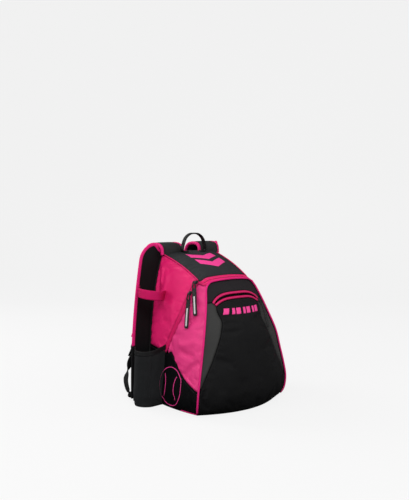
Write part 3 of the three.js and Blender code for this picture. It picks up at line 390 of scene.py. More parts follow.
def zip_band_place(a, b):
    around = ZIP_FOOT + a * (4 - 2 * ZIP_FOOT)
    return around, lerp(band_rear(around), band_front(around), b)


def pocket_place(a, b):
    s = lerp(-1, 1, a)
    across, rise = lip_edge(s, -1)
    return s * pocket_half(b * LOW_RISE) + (across - s * LOW_ACROSS) * b ** 4, b * rise


def pocket_lift(a, b):
    return POCKET_PUFF * smooth(5 * a * (1 - a)) * smooth(5 * b) * smooth(6 * (1 - b))


def wedge_place(a, b):
    rise = lerp(POCKET_EDGE[1][0] + ROUND_RISE / 2, HIGH_RISE, b)
    past = (rise - LOW_RISE) / (HIGH_RISE - LOW_RISE)
    inner = np.where(rise < LOW_RISE, pocket_half(rise), lerp(LOW_ACROSS, HIGH_ACROSS, past))
    return lerp(inner, 1, a), rise


def upper_panel_place(a, b):
    column = a * 20 - 2
    past = np.maximum(-column, column - 16) / 2
    side = np.where(column < 0, -1, 1)
    across, low = lip_edge(lerp(-1, 1, clamp01(column / 16)), 1)
    across = np.where(past > 0, side * lerp(HIGH_ACROSS, 1, past), across)
    low = np.where(past > 0, HIGH_RISE, low)
    return across, lerp(low, top_rise(across), b)


def lip_place(side):
    def place(a, b):
        s = lerp(-1, 1, a)
        return pocket_zip(s, side * (gape(s) + b * LIP_WIDTH))
    return place


def pocket_back_place(a, b):
    s = lerp(-1, 1, a)
    across, rise = pocket_zip(s, gape(s) + LIP_WIDTH)
    return lerp(s * pocket_half(0.3), across, b ** 2) * 0.86, lerp(0.3, rise, b)


def pocket_back_lift(a, b):
    return -3.4 - POCKET_SPACE * smooth(5 * a * (1 - a)) * smooth(3.4 * b) * smooth(7 * (1 - b))


SKINS = {}


def run_along(p, axis):
    step = np.linalg.norm(np.diff(p, axis=axis), axis=-1)
    start = np.zeros_like(np.take(step, [0], axis=axis))
    return np.concatenate([start, np.cumsum(step, axis=axis)], axis=axis)


def grid_normals(p, outward):
    n = unit(np.cross(np.gradient(p, axis=0), np.gradient(p, axis=1)))
    return n if np.sum(n * outward) > 0 else -n


def face_grid(face, place, step, lift=None, spacing=(1.0, 1.0)):
    """A panel's outer face as a grid of points, with its normals and its two shares a and b."""
    probe_a, probe_b = np.linspace(0, 1, 30), np.full(30, 0.5)
    length_a = np.linalg.norm(np.diff(face(*place(probe_a, probe_b)), axis=0), axis=-1).sum()
    length_b = np.linalg.norm(np.diff(face(*place(probe_b, probe_a)), axis=0), axis=-1).sum()
    rows = max(3, int(round(length_a / (step * spacing[0])))) + 1
    columns = max(3, int(round(length_b / (step * spacing[1])))) + 1
    inset_a, inset_b = 0.15 / length_a, 0.15 / length_b
    a, b = np.meshgrid(
        np.linspace(inset_a, 1 - inset_a, rows), np.linspace(inset_b, 1 - inset_b, columns), indexing="ij"
    )
    u, v = place(a, b)
    n = normals_of(face, u, v)
    p = face(u, v)
    if lift is not None:
        p = p + n * lift(a, b)[..., None]
    return p, n, a, b


def edge_distance(p, sides=(1, 1, 1, 1)):
    """Millimetres from each grid point to the nearest of the chosen borders, in the order a0, a1, b0, b1."""
    rows, columns = run_along(p, 0), run_along(p, 1)
    ways = [rows, rows[-1:] - rows, columns, columns[:, -1:] - columns]
    return np.min([w for w, used in zip(ways, sides) if used], axis=0) if any(sides) else np.full(rows.shape, 99.0)


def piece_name(name):
    """A piece that stands for a CAD node carries the node's name and a word of its own."""
    return name + "_sewn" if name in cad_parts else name


def new_object(name, points, faces, material, uv=None, seam=None, smooth_faces=True):
    name = piece_name(name)
    mesh = bpy.data.meshes.new(name)
    mesh.from_pydata((np.asarray(points, float) * MM).tolist(), [], [tuple(int(i) for i in f) for f in faces])
    obj = bpy.data.objects.new(name, mesh)
    bpy.context.scene.collection.objects.link(obj)
    corners = np.zeros(len(mesh.loops), int)
    mesh.loops.foreach_get("vertex_index", corners)
    if uv is not None:
        layer = mesh.uv_layers.new(name="cloth")
        layer.data.foreach_set("uv", (np.asarray(uv)[corners] * MM).astype(np.float32).ravel())
    if seam is None:
        seam = np.zeros(len(points))
    # seam is 1 at a seam and 0 away from it; the cloth shader darkens the colour there as painted shade.
    attribute = mesh.attributes.new("seam", "FLOAT", "POINT")
    attribute.data.foreach_set("value", np.asarray(seam, np.float32).ravel())
    mesh.polygons.foreach_set("use_smooth", np.full(len(mesh.polygons), smooth_faces))
    mesh.materials.append(material)
    mesh.update()
    return obj


def wall_faces(rows, columns):
    index = np.arange(rows * columns).reshape(rows, columns)
    n = rows * columns
    top = np.stack([index[:-1, :-1], index[1:, :-1], index[1:, 1:], index[:-1, 1:]], -1).reshape(-1, 4)
    ring = np.concatenate([index[:, 0], index[-1, 1:], index[-2::-1, -1], index[0, -2:0:-1]])
    following = np.roll(ring, -1)
    sides = np.stack([following, ring, ring + n, following + n], -1)
    return np.concatenate([top, top[:, ::-1] + n, sides])


def wall(name, outer, inner, material, uv_shift=0.0, seam=None):
    """A closed piece of cloth between two grids of points."""
    rows, columns = outer.shape[:2]
    points = np.concatenate([outer.reshape(-1, 3), inner.reshape(-1, 3)])
    faces = wall_faces(rows, columns)
    middle = outer[rows // 2, columns // 2] - inner[rows // 2, columns // 2]
    across = np.cross(
        outer[min(rows - 1, rows // 2 + 1), columns // 2] - outer[rows // 2, columns // 2],
        outer[rows // 2, min(columns - 1, columns // 2 + 1)] - outer[rows // 2, columns // 2],
    )
    if np.dot(middle, across) < 0:
        faces = faces[:, ::-1]
    u, v = run_along(outer, 1), run_along(outer, 0)
    uv = np.stack([u - u[:, columns // 2][:, None] + uv_shift, v - v[rows // 2][None, :]], -1).reshape(-1, 2)
    near = np.zeros((rows, columns)) if seam is None else seam
    return new_object(name, points, faces, material, np.concatenate([uv, uv]), np.concatenate([near.ravel()] * 2))


def sweep(name, loops, material, seam=None):
    """A closed tube or strap through sections that all have the same number of points."""
    loops = np.asarray(loops, float)
    count, sides = loops.shape[:2]
    index = np.arange(count * sides).reshape(count, sides)
    following = np.roll(index, -1, axis=1)
    skin = np.stack([index[:-1], following[:-1], following[1:], index[1:]], -1).reshape(-1, 4)
    run = np.concatenate([[0], np.cumsum(np.linalg.norm(np.diff(loops.mean(1), axis=0), axis=-1))])
    girth = np.concatenate([[0], np.cumsum(np.linalg.norm(np.diff(loops[0], axis=0), axis=-1))])
    uv = np.stack(np.broadcast_arrays(girth[None, :], run[:, None]), -1).reshape(-1, 2)
    points = loops.reshape(-1, 3)
    first, last = len(points), len(points) + 1
    points = np.vstack([points, loops[0].mean(0), loops[-1].mean(0)])
    uv = np.vstack([uv, uv[:1], uv[-1:]])
    faces = [tuple(f) for f in skin]
    faces += [(first, following[0, j], index[0, j]) for j in range(sides)]
    faces += [(last, index[-1, j], following[-1, j]) for j in range(sides)]
    a, b, c, d = (points[skin[:, i]] for i in range(4))
    volume = np.sum(a * np.cross(b, c)) + np.sum(a * np.cross(c, d))
    if volume < 0:
        faces = [tuple(reversed(f)) for f in faces]
    near = None if seam is None else np.concatenate([np.asarray(seam).ravel(), [0, 0]])
    return new_object(name, points, faces, material, uv, near)


def tube(name, line, diameter, material, sides=10):
    line = np.asarray(line, float)
    tangent = unit(np.gradient(line, axis=0))
    side = np.zeros_like(line)
    guess = np.cross(tangent[0], [0.3, 0.5, 0.8])
    for i, t in enumerate(tangent):
        guess = unit(guess - t * np.dot(guess, t))
        side[i] = guess
    up = np.cross(tangent, side)
    turn = np.linspace(0, 2 * np.pi, sides, endpoint=False)
    size = np.full(len(line), diameter / 2)
    size[0] *= 0.6
    size[-1] *= 0.6
    loops = line[:, None] + size[:, None, None] * (
        np.cos(turn)[None, :, None] * side[:, None] + np.sin(turn)[None, :, None] * up[:, None]
    )
    return sweep(name, loops, material)


def belt(name, line, across, width, thickness, material, rounding=0.35, corners=3):
    """A strap along a line. across gives its width direction at each point."""
    line = np.asarray(line, float)
    tangent = unit(np.gradient(line, axis=0))
    normal = unit(np.cross(across, tangent))
    across = unit(np.cross(tangent, normal))
    width = np.broadcast_to(np.asarray(width, float), len(line))
    radius = thickness * rounding
    section = []
    for cx, cy, start in ((1, 1, 0), (-1, 1, 90), (-1, -1, 180), (1, -1, 270)):
        for i in range(corners):
            turn = math.radians(start + 90 * i / (corners - 1))
            section.append((cx, cy, math.cos(turn) * radius, math.sin(turn) * radius))
    loops = [
        line
        + across * ((width / 2 - radius) * cx + ox)[:, None]
        + normal * ((thickness / 2 - radius) * cy + oy)
        for cx, cy, ox, oy in section
    ]
    return sweep(name, np.stack(loops, axis=1), material)


def finish_piece(obj, nodes):
    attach(obj, "root")
    if nodes:
        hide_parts(*nodes)
    return obj


def flip_x(points):
    return points * np.array([-1.0, 1.0, 1.0])


def on_side(side, points):
    """Mirrors points of the right half when the piece is on the left."""
    return flip_x(points) if side < 0 else points


def crease(points, line, width, depth, sharp=1.0):
    """The lift, in millimetres, of a ridge or a valley along a line, fading at both of its ends."""
    line = even(catmull(np.asarray(line, float), 60), 70)
    flat = points.reshape(-1, 3)
    gap = np.linalg.norm(flat[:, None, :] - line[None, :, :], axis=-1)
    nearest = gap.argmin(1)
    k = nearest / 70
    fade = smooth(k * 4) * smooth((1 - k) * 4)
    profile = np.exp(-(gap[np.arange(len(flat)), nearest] / width) ** (2 * sharp))
    return (depth * fade * profile).reshape(points.shape[:2])


def dents(points, seed, depth):
    broad = value_noise(points, 58.0, seed)
    middle = value_noise(points, 27.0, seed + 1)
    fine = value_noise(points, 11.0, seed + 2)
    return depth * (0.6 * broad + 0.3 * middle + 0.1 * fine)


def seam_roll(distance, depth=1.5, width=6.0):
    """Cloth dips into its seams."""
    return -depth * (1 - smooth(distance / width)) ** 1.5


def settle(jobs, frames=20):
    """Blender's cloth on several skins at once. Returns how far each skin's points move, in millimetres."""
    scene = bpy.context.scene
    holders = {}
    for name, job in jobs.items():
        mesh = bpy.data.meshes.new("settle_" + name)
        mesh.from_pydata((job["points"].reshape(-1, 3) * MM).tolist(), [], job["faces"].tolist())
        holder = bpy.data.objects.new("settle_" + name, mesh)
        scene.collection.objects.link(holder)
        held = holder.vertex_groups.new(name="held")
        held.add([int(i) for i in np.flatnonzero(job["held"].ravel())], 1.0, "REPLACE")
        cloth = holder.modifiers.new("cloth", "CLOTH")
        cloth.settings.quality = 6
        cloth.settings.mass = 0.15
        cloth.settings.tension_stiffness = 20
        cloth.settings.compression_stiffness = 20
        cloth.settings.shear_stiffness = 8
        cloth.settings.bending_stiffness = job.get("bending", 1.5)
        cloth.settings.air_damping = 2
        cloth.settings.vertex_group_mass = "held"
        cloth.settings.pin_stiffness = 1
        cloth.settings.use_pressure = True
        cloth.settings.uniform_pressure_force = job["pressure"]
        cloth.settings.shrink_min = -job["spare"]
        cloth.settings.effector_weights.gravity = 0
        cloth.collision_settings.use_collision = False
        cloth.point_cache.frame_start = 1
        cloth.point_cache.frame_end = frames
        holders[name] = holder
    for number in range(1, frames + 1):
        scene.frame_set(number)
    depsgraph = bpy.context.evaluated_depsgraph_get()
    moves = {}
    for name, holder in holders.items():
        rested = holder.evaluated_get(depsgraph)
        co = np.zeros(len(rested.data.vertices) * 3)
        rested.data.vertices.foreach_get("co", co)
        move = co.reshape(jobs[name]["points"].shape) / MM - jobs[name]["points"]
        length = np.linalg.norm(move, axis=-1, keepdims=True)
        cap = jobs[name]["cap"]
        moves[name] = move * (cap * np.tanh(length / cap) / np.maximum(length, 1e-9))
    for holder in holders.values():
        mesh = holder.data
        bpy.data.objects.remove(holder)
        bpy.data.meshes.remove(mesh)
    scene.frame_set(1)
    return moves


def resample(grid, rows, columns):
    """A grid of vectors at another resolution, by a smooth curve along each axis."""
    for axis, count in ((0, rows), (1, columns)):
        grid = np.moveaxis(grid, axis, 0)
        last = len(grid) - 1
        at = np.linspace(0, last, count)
        i = np.minimum(at.astype(int), last - 1)
        k = (at - i).reshape((-1,) + (1,) * (grid.ndim - 1))
        p0, p1 = grid[np.maximum(i - 1, 0)], grid[i]
        p2, p3 = grid[i + 1], grid[np.minimum(i + 2, last)]
        t1, t2 = (p2 - p0) / 2, (p3 - p1) / 2
        k2, k3 = k * k, k ** 3
        grid = p1 * (2 * k3 - 3 * k2 + 1) + t1 * (k3 - 2 * k2 + k) + p2 * (3 * k2 - 2 * k3) + t2 * (k3 - k2)
        grid = np.moveaxis(grid, 0, axis)
    return grid


SETTLED = {}
SETTLE_CELL = 5.0


def skin_job(face, place, lift, pressure, spare, cap, relief=None, side=1, bending=1.5, seed=0):
    """One panel's skin for the cloth simulation, held along its seams."""
    p, n, a, b = face_grid(face, place, SETTLE_CELL, lift)
    p, n = on_side(side, p), on_side(side, n)
    distance = edge_distance(p)
    start = dents(p, seed, 1.2) * smooth(distance / 14.0)
    if relief is not None:
        start = start + relief(p, a, b) * smooth(distance / 14.0)
    p = p + n * start[..., None]
    faces = wall_faces(*p.shape[:2])[: (p.shape[0] - 1) * (p.shape[1] - 1)]
    middle = np.cross(p[1:, :-1] - p[:-1, :-1], p[:-1, 1:] - p[:-1, :-1])
    if np.sum(middle * n[:-1, :-1]) < 0:
        faces = faces[:, ::-1]
    held = np.zeros(p.shape[:2], bool)
    held[0], held[-1], held[:, 0], held[:, -1] = True, True, True, True
    return {"points": p, "faces": faces, "held": held, "pressure": pressure, "spare": spare, "cap": cap,
            "bending": bending}


def interface(tree, name, kind, direction, value=None):
    item = tree.interface.new_socket(name=name, in_out=direction, socket_type=kind)
    if value is not None:
        item.default_value = value
    return item


def maths(tree, operation, a, b=None, clamp=False, third=None):
    node = tree.nodes.new("ShaderNodeMath")
    node.operation = operation
    node.use_clamp = clamp
    for socket, value in zip(node.inputs, (a, b, third)):
        if value is None:
            continue
        if isinstance(value, (int, float)):
            socket.default_value = value
        else:
            tree.links.new(value, socket)
    return node.outputs[0]


def mix_colour(tree, factor, a, b, blend="MIX"):
    node = tree.nodes.new("ShaderNodeMix")
    node.data_type = "RGBA"
    node.blend_type = blend
    for socket, value in zip((node.inputs[0], node.inputs[6], node.inputs[7]), (factor, a, b)):
        if isinstance(value, (int, float)):
            socket.default_value = value
        elif isinstance(value, (tuple, list)):
            socket.default_value = value
        else:
            tree.links.new(value, socket)
    return node.outputs[2]


def noise(tree, vector, scale, detail=2.0, rough=0.5):
    node = tree.nodes.new("ShaderNodeTexNoise")
    node.inputs["Scale"].default_value = scale
    node.inputs["Detail"].default_value = detail
    node.inputs["Roughness"].default_value = rough
    tree.links.new(vector, node.inputs["Vector"])
    return node.outputs["Fac"]


def weave_group():
    """A plain or rib weave from the piece's own UV map, in metres."""
    tree = bpy.data.node_groups.new("cloth_weave", "ShaderNodeTree")
    interface(tree, "Threads per metre", "NodeSocketFloat", "INPUT", 900.0)
    interface(tree, "Rib", "NodeSocketFloat", "INPUT", 1.0)
    interface(tree, "Height", "NodeSocketFloat", "OUTPUT")
    interface(tree, "Gaps", "NodeSocketFloat", "OUTPUT")
    inside, outside = tree.nodes.new("NodeGroupInput"), tree.nodes.new("NodeGroupOutput")
    uv = tree.nodes.new("ShaderNodeUVMap")
    split = tree.nodes.new("ShaderNodeSeparateXYZ")
    tree.links.new(uv.outputs[0], split.inputs[0])
    pitch = maths(tree, "MULTIPLY", inside.outputs[0], math.pi)
    u = maths(tree, "MULTIPLY", split.outputs[0], pitch)
    v = maths(tree, "MULTIPLY", maths(tree, "MULTIPLY", split.outputs[1], pitch), inside.outputs[1])
    sin_u, sin_v = maths(tree, "SINE", u), maths(tree, "SINE", v)
    over = maths(tree, "MULTIPLY", sin_u, sin_v)
    sign = maths(tree, "GREATER_THAN", over, 0.0)
    warp, weft = maths(tree, "ABSOLUTE", sin_u), maths(tree, "ABSOLUTE", sin_v)
    high = maths(tree, "MAXIMUM", maths(tree, "MULTIPLY", warp, sign),
                 maths(tree, "MULTIPLY", weft, maths(tree, "SUBTRACT", 1.0, sign)))
    tree.links.new(high, outside.inputs[0])
    gaps = maths(tree, "SUBTRACT", 1.0, maths(tree, "MULTIPLY", warp, weft), clamp=True)
    tree.links.new(maths(tree, "POWER", gaps, 3.0), outside.inputs[1])
    return tree


def tone_and_seam_shade_group():
    """Colour that varies at random over the cloth, with painted shade that darkens it near its seams."""
    tree = bpy.data.node_groups.new("cloth_tone_and_seam_shade", "ShaderNodeTree")
    interface(tree, "Colour", "NodeSocketColor", "INPUT", (0.5, 0.5, 0.5, 1.0))
    interface(tree, "Amount", "NodeSocketFloat", "INPUT", 0.12)
    interface(tree, "Seam shade", "NodeSocketFloat", "INPUT", 0.35)
    interface(tree, "Roughness", "NodeSocketFloat", "INPUT", 0.6)
    interface(tree, "Colour", "NodeSocketColor", "OUTPUT")
    interface(tree, "Roughness", "NodeSocketFloat", "OUTPUT")
    interface(tree, "Height", "NodeSocketFloat", "OUTPUT")
    inside, outside = tree.nodes.new("NodeGroupInput"), tree.nodes.new("NodeGroupOutput")
    place = tree.nodes.new("ShaderNodeTexCoord").outputs["Object"]
    broad = noise(tree, place, 14.0, 3.0)
    fine = noise(tree, place, 240.0, 2.0)
    # The seam attribute darkens the colour near each seam: painted shade in the seam's valley.
    seam = tree.nodes.new("ShaderNodeAttribute")
    seam.attribute_name = "seam"
    shade = maths(tree, "MULTIPLY", seam.outputs["Fac"], inside.outputs[2])
    swing = maths(tree, "MULTIPLY", maths(tree, "SUBTRACT", broad, 0.5), inside.outputs[1])
    swing = maths(tree, "ADD", swing, maths(tree, "MULTIPLY", maths(tree, "SUBTRACT", fine, 0.5),
                                            maths(tree, "MULTIPLY", inside.outputs[1], 0.6)))
    factor = maths(tree, "SUBTRACT", maths(tree, "ADD", 1.0, maths(tree, "MULTIPLY", swing, 2.0)), shade)
    scale = tree.nodes.new("ShaderNodeVectorMath")
    scale.operation = "SCALE"
    tree.links.new(inside.outputs[0], scale.inputs[0])
    tree.links.new(factor, scale.inputs["Scale"])
    tree.links.new(scale.outputs[0], outside.inputs[0])
    rough = maths(tree, "ADD", inside.outputs[3], maths(tree, "MULTIPLY", swing, 1.2), clamp=True)
    tree.links.new(rough, outside.inputs[1])
    tree.links.new(maths(tree, "ADD", maths(tree, "MULTIPLY", broad, 0.3), maths(tree, "MULTIPLY", fine, 0.7)),
                   outside.inputs[2])
    return tree


GROUPS = {}
MATERIALS = {}


def group_node(tree, name):
    if name not in GROUPS:
        GROUPS[name] = {"cloth_weave": weave_group, "cloth_tone_and_seam_shade": tone_and_seam_shade_group}[name]()
    node = tree.nodes.new("ShaderNodeGroup")
    node.node_tree = GROUPS[name]
    return node


def cloth_material(name, colour, roughness, threads, depth, amount=0.12, rib=1.0,
                   seam_shade=0.35, gap_shade=0.35, specular=0.5, fuzz=0.0002):
    if name in MATERIALS:
        return MATERIALS[name]
    material = bpy.data.materials.new(name)
    material.use_nodes = True
    tree = material.node_tree
    shader = tree.nodes["Principled BSDF"]
    shader.inputs["Specular IOR Level"].default_value = specular
    # This group's colour carries random tone and, by Seam shade, painted shade near the seams.
    tone_and_shade = group_node(tree, "cloth_tone_and_seam_shade")
    tone_and_shade.inputs["Colour"].default_value = (*colour, 1.0)
    tone_and_shade.inputs["Amount"].default_value = amount
    tone_and_shade.inputs["Seam shade"].default_value = seam_shade
    tone_and_shade.inputs["Roughness"].default_value = roughness
    weave = group_node(tree, "cloth_weave")
    weave.inputs["Threads per metre"].default_value = threads
    weave.inputs["Rib"].default_value = rib
    gap = maths(tree, "MULTIPLY", weave.outputs["Gaps"], gap_shade)
    dark = mix_colour(tree, gap, tone_and_shade.outputs["Colour"], (*(c * 0.25 for c in colour), 1.0))
    tree.links.new(dark, shader.inputs["Base Color"])
    tree.links.new(tone_and_shade.outputs["Roughness"], shader.inputs["Roughness"])
    bump = tree.nodes.new("ShaderNodeBump")
    bump.inputs["Distance"].default_value = depth
    tree.links.new(weave.outputs["Height"], bump.inputs["Height"])
    soft = tree.nodes.new("ShaderNodeBump")
    soft.inputs["Distance"].default_value = fuzz
    tree.links.new(tone_and_shade.outputs["Height"], soft.inputs["Height"])
    tree.links.new(bump.outputs[0], soft.inputs["Normal"])
    tree.links.new(soft.outputs[0], shader.inputs["Normal"])
    MATERIALS[name] = material
    return material


def plastic_material(name, colour, roughness, metallic=0.0):
    if name in MATERIALS:
        return MATERIALS[name]
    material = bpy.data.materials.new(name)
    material.use_nodes = True
    tree = material.node_tree
    shader = tree.nodes["Principled BSDF"]
    shader.inputs["Metallic"].default_value = metallic
    tone_and_shade = group_node(tree, "cloth_tone_and_seam_shade")
    tone_and_shade.inputs["Colour"].default_value = (*colour, 1.0)
    tone_and_shade.inputs["Amount"].default_value = 0.1
    tone_and_shade.inputs["Seam shade"].default_value = 0.0
    tone_and_shade.inputs["Roughness"].default_value = roughness
    tree.links.new(tone_and_shade.outputs["Colour"], shader.inputs["Base Color"])
    tree.links.new(tone_and_shade.outputs["Roughness"], shader.inputs["Roughness"])
    bump = tree.nodes.new("ShaderNodeBump")
    bump.inputs["Distance"].default_value = 0.00006
    tree.links.new(tone_and_shade.outputs["Height"], bump.inputs["Height"])
    tree.links.new(bump.outputs[0], shader.inputs["Normal"])
    MATERIALS[name] = material
    return material


def finish_of(name):
    """The finishes of this backpack, each made once from the colours in the panel."""
    if name in MATERIALS:
        return MATERIALS[name]
    c = bpy.context.scene.backpack_colours
    cloths = {
        # colour, roughness, threads per metre, weave depth, and what else differs from plain cloth
        "coated_pink": (c.coated_pink, 0.5, 1500, 0.00012, {"amount": 0.08, "gap_shade": 0.12, "specular": 0.22}),
        "light_pink": (c.light_pink, 0.5, 1500, 0.00012, {"amount": 0.07, "gap_shade": 0.12, "specular": 0.26}),
        "pink_tape": (c.binding_pink, 0.62, 1100, 0.0002, {"amount": 0.1, "rib": 0.5, "specular": 0.16}),
        "pink_elastic": (c.elastic_pink, 0.64, 900, 0.0003, {"amount": 0.12, "rib": 0.35, "specular": 0.12}),
        "charcoal_cloth": (c.charcoal, 0.66, 1100, 0.00018, {"amount": 0.14, "specular": 0.12}),
        "wedge_cloth": (c.wedge_grey, 0.66, 1100, 0.00018, {"amount": 0.12, "specular": 0.1}),
        "upper_cloth": (c.upper_grey, 0.66, 1100, 0.00018, {"amount": 0.14, "specular": 0.08}),
        "black_cloth": (c.black, 0.62, 1100, 0.00018, {"amount": 0.2, "specular": 0.1}),
        "lower_cloth": (c.lower_black, 0.62, 1100, 0.00018, {"amount": 0.2, "specular": 0.045}),
        "black_lining": (c.black, 0.8, 1300, 0.0001, {"amount": 0.2, "specular": 0.04}),
        "air_mesh": (c.mesh_black, 0.75, 420, 0.0006, {"amount": 0.15, "gap_shade": 0.75, "specular": 0.2}),
        "webbing": (c.black, 0.6, 620, 0.0004, {"amount": 0.15, "rib": 0.45, "specular": 0.16}),
        "pull_tape": (c.black, 0.4, 1100, 0.0001, {"amount": 0.08, "specular": 0.2}),
        "net_thread": (c.net, 0.7, 2500, 0.00005, {"amount": 0.1, "specular": 0.08}),
        "pink_thread": (c.binding_pink, 0.6, 3000, 0.00005, {"amount": 0.1, "specular": 0.2}),
        "black_thread": (c.charcoal, 0.6, 3000, 0.00005, {"amount": 0.1, "specular": 0.2}),
        "print_pink": (c.print_pink, 0.5, 1100, 0.00008, {"amount": 0.05, "gap_shade": 0.08, "specular": 0.2}),
        "inlay_grey": (c.inlay_grey, 0.5, 1500, 0.0001, {"amount": 0.15, "specular": 0.3}),
    }
    plastics = {"black_plastic": ((0.008, 0.008, 0.009), 0.4, 0.0), "dark_metal": ((0.05, 0.05, 0.055), 0.34, 0.85)}
    if name in plastics:
        return plastic_material(name, *plastics[name])
    colour, roughness, threads, depth, more = cloths[name]
    return cloth_material(name, tuple(colour), roughness, threads, depth, **more)


def node_input(modifier, tree, name, value):
    for item in tree.interface.items_tree:
        if item.item_type == "SOCKET" and item.in_out == "INPUT" and item.name == name:
            modifier[item.identifier] = value
            return
    raise RuntimeError(f"{tree.name} has no input {name}")


def stitch_tree():
    """Stitches at an even pitch along every edge chain of the mesh."""
    if "stitch_run" in bpy.data.node_groups:
        return bpy.data.node_groups["stitch_run"]
    tree = bpy.data.node_groups.new("stitch_run", "GeometryNodeTree")
    interface(tree, "Geometry", "NodeSocketGeometry", "INPUT")
    interface(tree, "Pitch", "NodeSocketFloat", "INPUT", 0.0034)
    interface(tree, "Length", "NodeSocketFloat", "INPUT", 0.0024)
    interface(tree, "Thread", "NodeSocketFloat", "INPUT", 0.0004)
    interface(tree, "Material", "NodeSocketMaterial", "INPUT")
    interface(tree, "Geometry", "NodeSocketGeometry", "OUTPUT")
    inside, outside = tree.nodes.new("NodeGroupInput"), tree.nodes.new("NodeGroupOutput")
    link = tree.links.new
    curve = tree.nodes.new("GeometryNodeMeshToCurve")
    link(inside.outputs["Geometry"], curve.inputs[0])
    even_out = tree.nodes.new("GeometryNodeResampleCurve")
    even_out.mode = "LENGTH"
    link(curve.outputs[0], even_out.inputs["Curve"])
    link(inside.outputs["Pitch"], even_out.inputs["Length"])
    ball = tree.nodes.new("GeometryNodeMeshUVSphere")
    ball.inputs["Segments"].default_value = 5
    ball.inputs["Rings"].default_value = 4
    ball.inputs["Radius"].default_value = 1.0
    tangent = tree.nodes.new("GeometryNodeInputTangent")
    turn = tree.nodes.new("FunctionNodeAlignRotationToVector")
    turn.axis = "Z"
    link(tangent.outputs[0], turn.inputs["Vector"])
    size = tree.nodes.new("ShaderNodeCombineXYZ")
    half = tree.nodes.new("ShaderNodeMath")
    half.operation = "MULTIPLY"
    half.inputs[1].default_value = 0.5
    link(inside.outputs["Length"], half.inputs[0])
    link(inside.outputs["Thread"], size.inputs[0])
    link(inside.outputs["Thread"], size.inputs[1])
    link(half.outputs[0], size.inputs[2])
    place = tree.nodes.new("GeometryNodeInstanceOnPoints")
    link(even_out.outputs[0], place.inputs["Points"])
    link(ball.outputs["Mesh"], place.inputs["Instance"])
    link(turn.outputs[0], place.inputs["Rotation"])
    link(size.outputs[0], place.inputs["Scale"])
    real = tree.nodes.new("GeometryNodeRealizeInstances")
    link(place.outputs[0], real.inputs[0])
    paint = tree.nodes.new("GeometryNodeSetMaterial")
    link(real.outputs[0], paint.inputs["Geometry"])
    link(inside.outputs["Material"], paint.inputs["Material"])
    link(paint.outputs[0], outside.inputs[0])
    return tree


def net_tree():
    """Threads along every edge of the mesh."""
    if "net_threads" in bpy.data.node_groups:
        return bpy.data.node_groups["net_threads"]
    tree = bpy.data.node_groups.new("net_threads", "GeometryNodeTree")
    interface(tree, "Geometry", "NodeSocketGeometry", "INPUT")
    interface(tree, "Thread", "NodeSocketFloat", "INPUT", 0.0005)
    interface(tree, "Material", "NodeSocketMaterial", "INPUT")
    interface(tree, "Geometry", "NodeSocketGeometry", "OUTPUT")
    inside, outside = tree.nodes.new("NodeGroupInput"), tree.nodes.new("NodeGroupOutput")
    link = tree.links.new
    curve = tree.nodes.new("GeometryNodeMeshToCurve")
    link(inside.outputs["Geometry"], curve.inputs[0])
    ring = tree.nodes.new("GeometryNodeCurvePrimitiveCircle")
    ring.inputs["Resolution"].default_value = 4
    link(inside.outputs["Thread"], ring.inputs["Radius"])
    skin = tree.nodes.new("GeometryNodeCurveToMesh")
    link(curve.outputs[0], skin.inputs["Curve"])
    link(ring.outputs[0], skin.inputs["Profile Curve"])
    skin.inputs["Fill Caps"].default_value = True
    real = tree.nodes.new("GeometryNodeRealizeInstances")
    link(skin.outputs[0], real.inputs[0])
    paint = tree.nodes.new("GeometryNodeSetMaterial")
    link(real.outputs[0], paint.inputs["Geometry"])
    link(inside.outputs["Material"], paint.inputs["Material"])
    link(paint.outputs[0], outside.inputs[0])
    return tree


def run_tree(name, tree, chains, values, material):
    """The tree's result on a mesh of loose edges, as a plain mesh object."""
    points, edges, base = [], [], 0
    for chain, closed in chains:
        chain = np.asarray(chain, float)
        points.append(chain)
        edges += [(base + i, base + i + 1) for i in range(len(chain) - 1)]
        if closed:
            edges.append((base + len(chain) - 1, base))
        base += len(chain)
    return run_tree_on(name, tree, np.concatenate(points), edges, values, material)


def run_tree_on(name, tree, points, edges, values, material):
    name = piece_name(name)
    guide = bpy.data.meshes.new(name + "_guide")
    guide.from_pydata((np.asarray(points) * MM).tolist(), edges, [])
    holder = bpy.data.objects.new(name + "_guide", guide)
    bpy.context.scene.collection.objects.link(holder)
    modifier = holder.modifiers.new("nodes", "NODES")
    modifier.node_group = tree
    for key, value in values.items():
        node_input(modifier, tree, key, value)
    node_input(modifier, tree, "Material", material)
    bpy.context.view_layer.update()
    made = bpy.data.meshes.new_from_object(holder.evaluated_get(bpy.context.evaluated_depsgraph_get()))
    made.name = name
    bpy.data.objects.remove(holder)
    bpy.data.meshes.remove(guide)
    if not len(made.polygons):
        raise RuntimeError(f"{name} came out empty")
    if not len(made.materials):
        made.materials.append(material)
    obj = bpy.data.objects.new(name, made)
    bpy.context.scene.collection.objects.link(obj)
    made.polygons.foreach_set("use_smooth", np.full(len(made.polygons), True))
    return obj


STITCH_LINES = {}


def note_stitches(thread, line):
    STITCH_LINES.setdefault(thread, []).append((line, False))


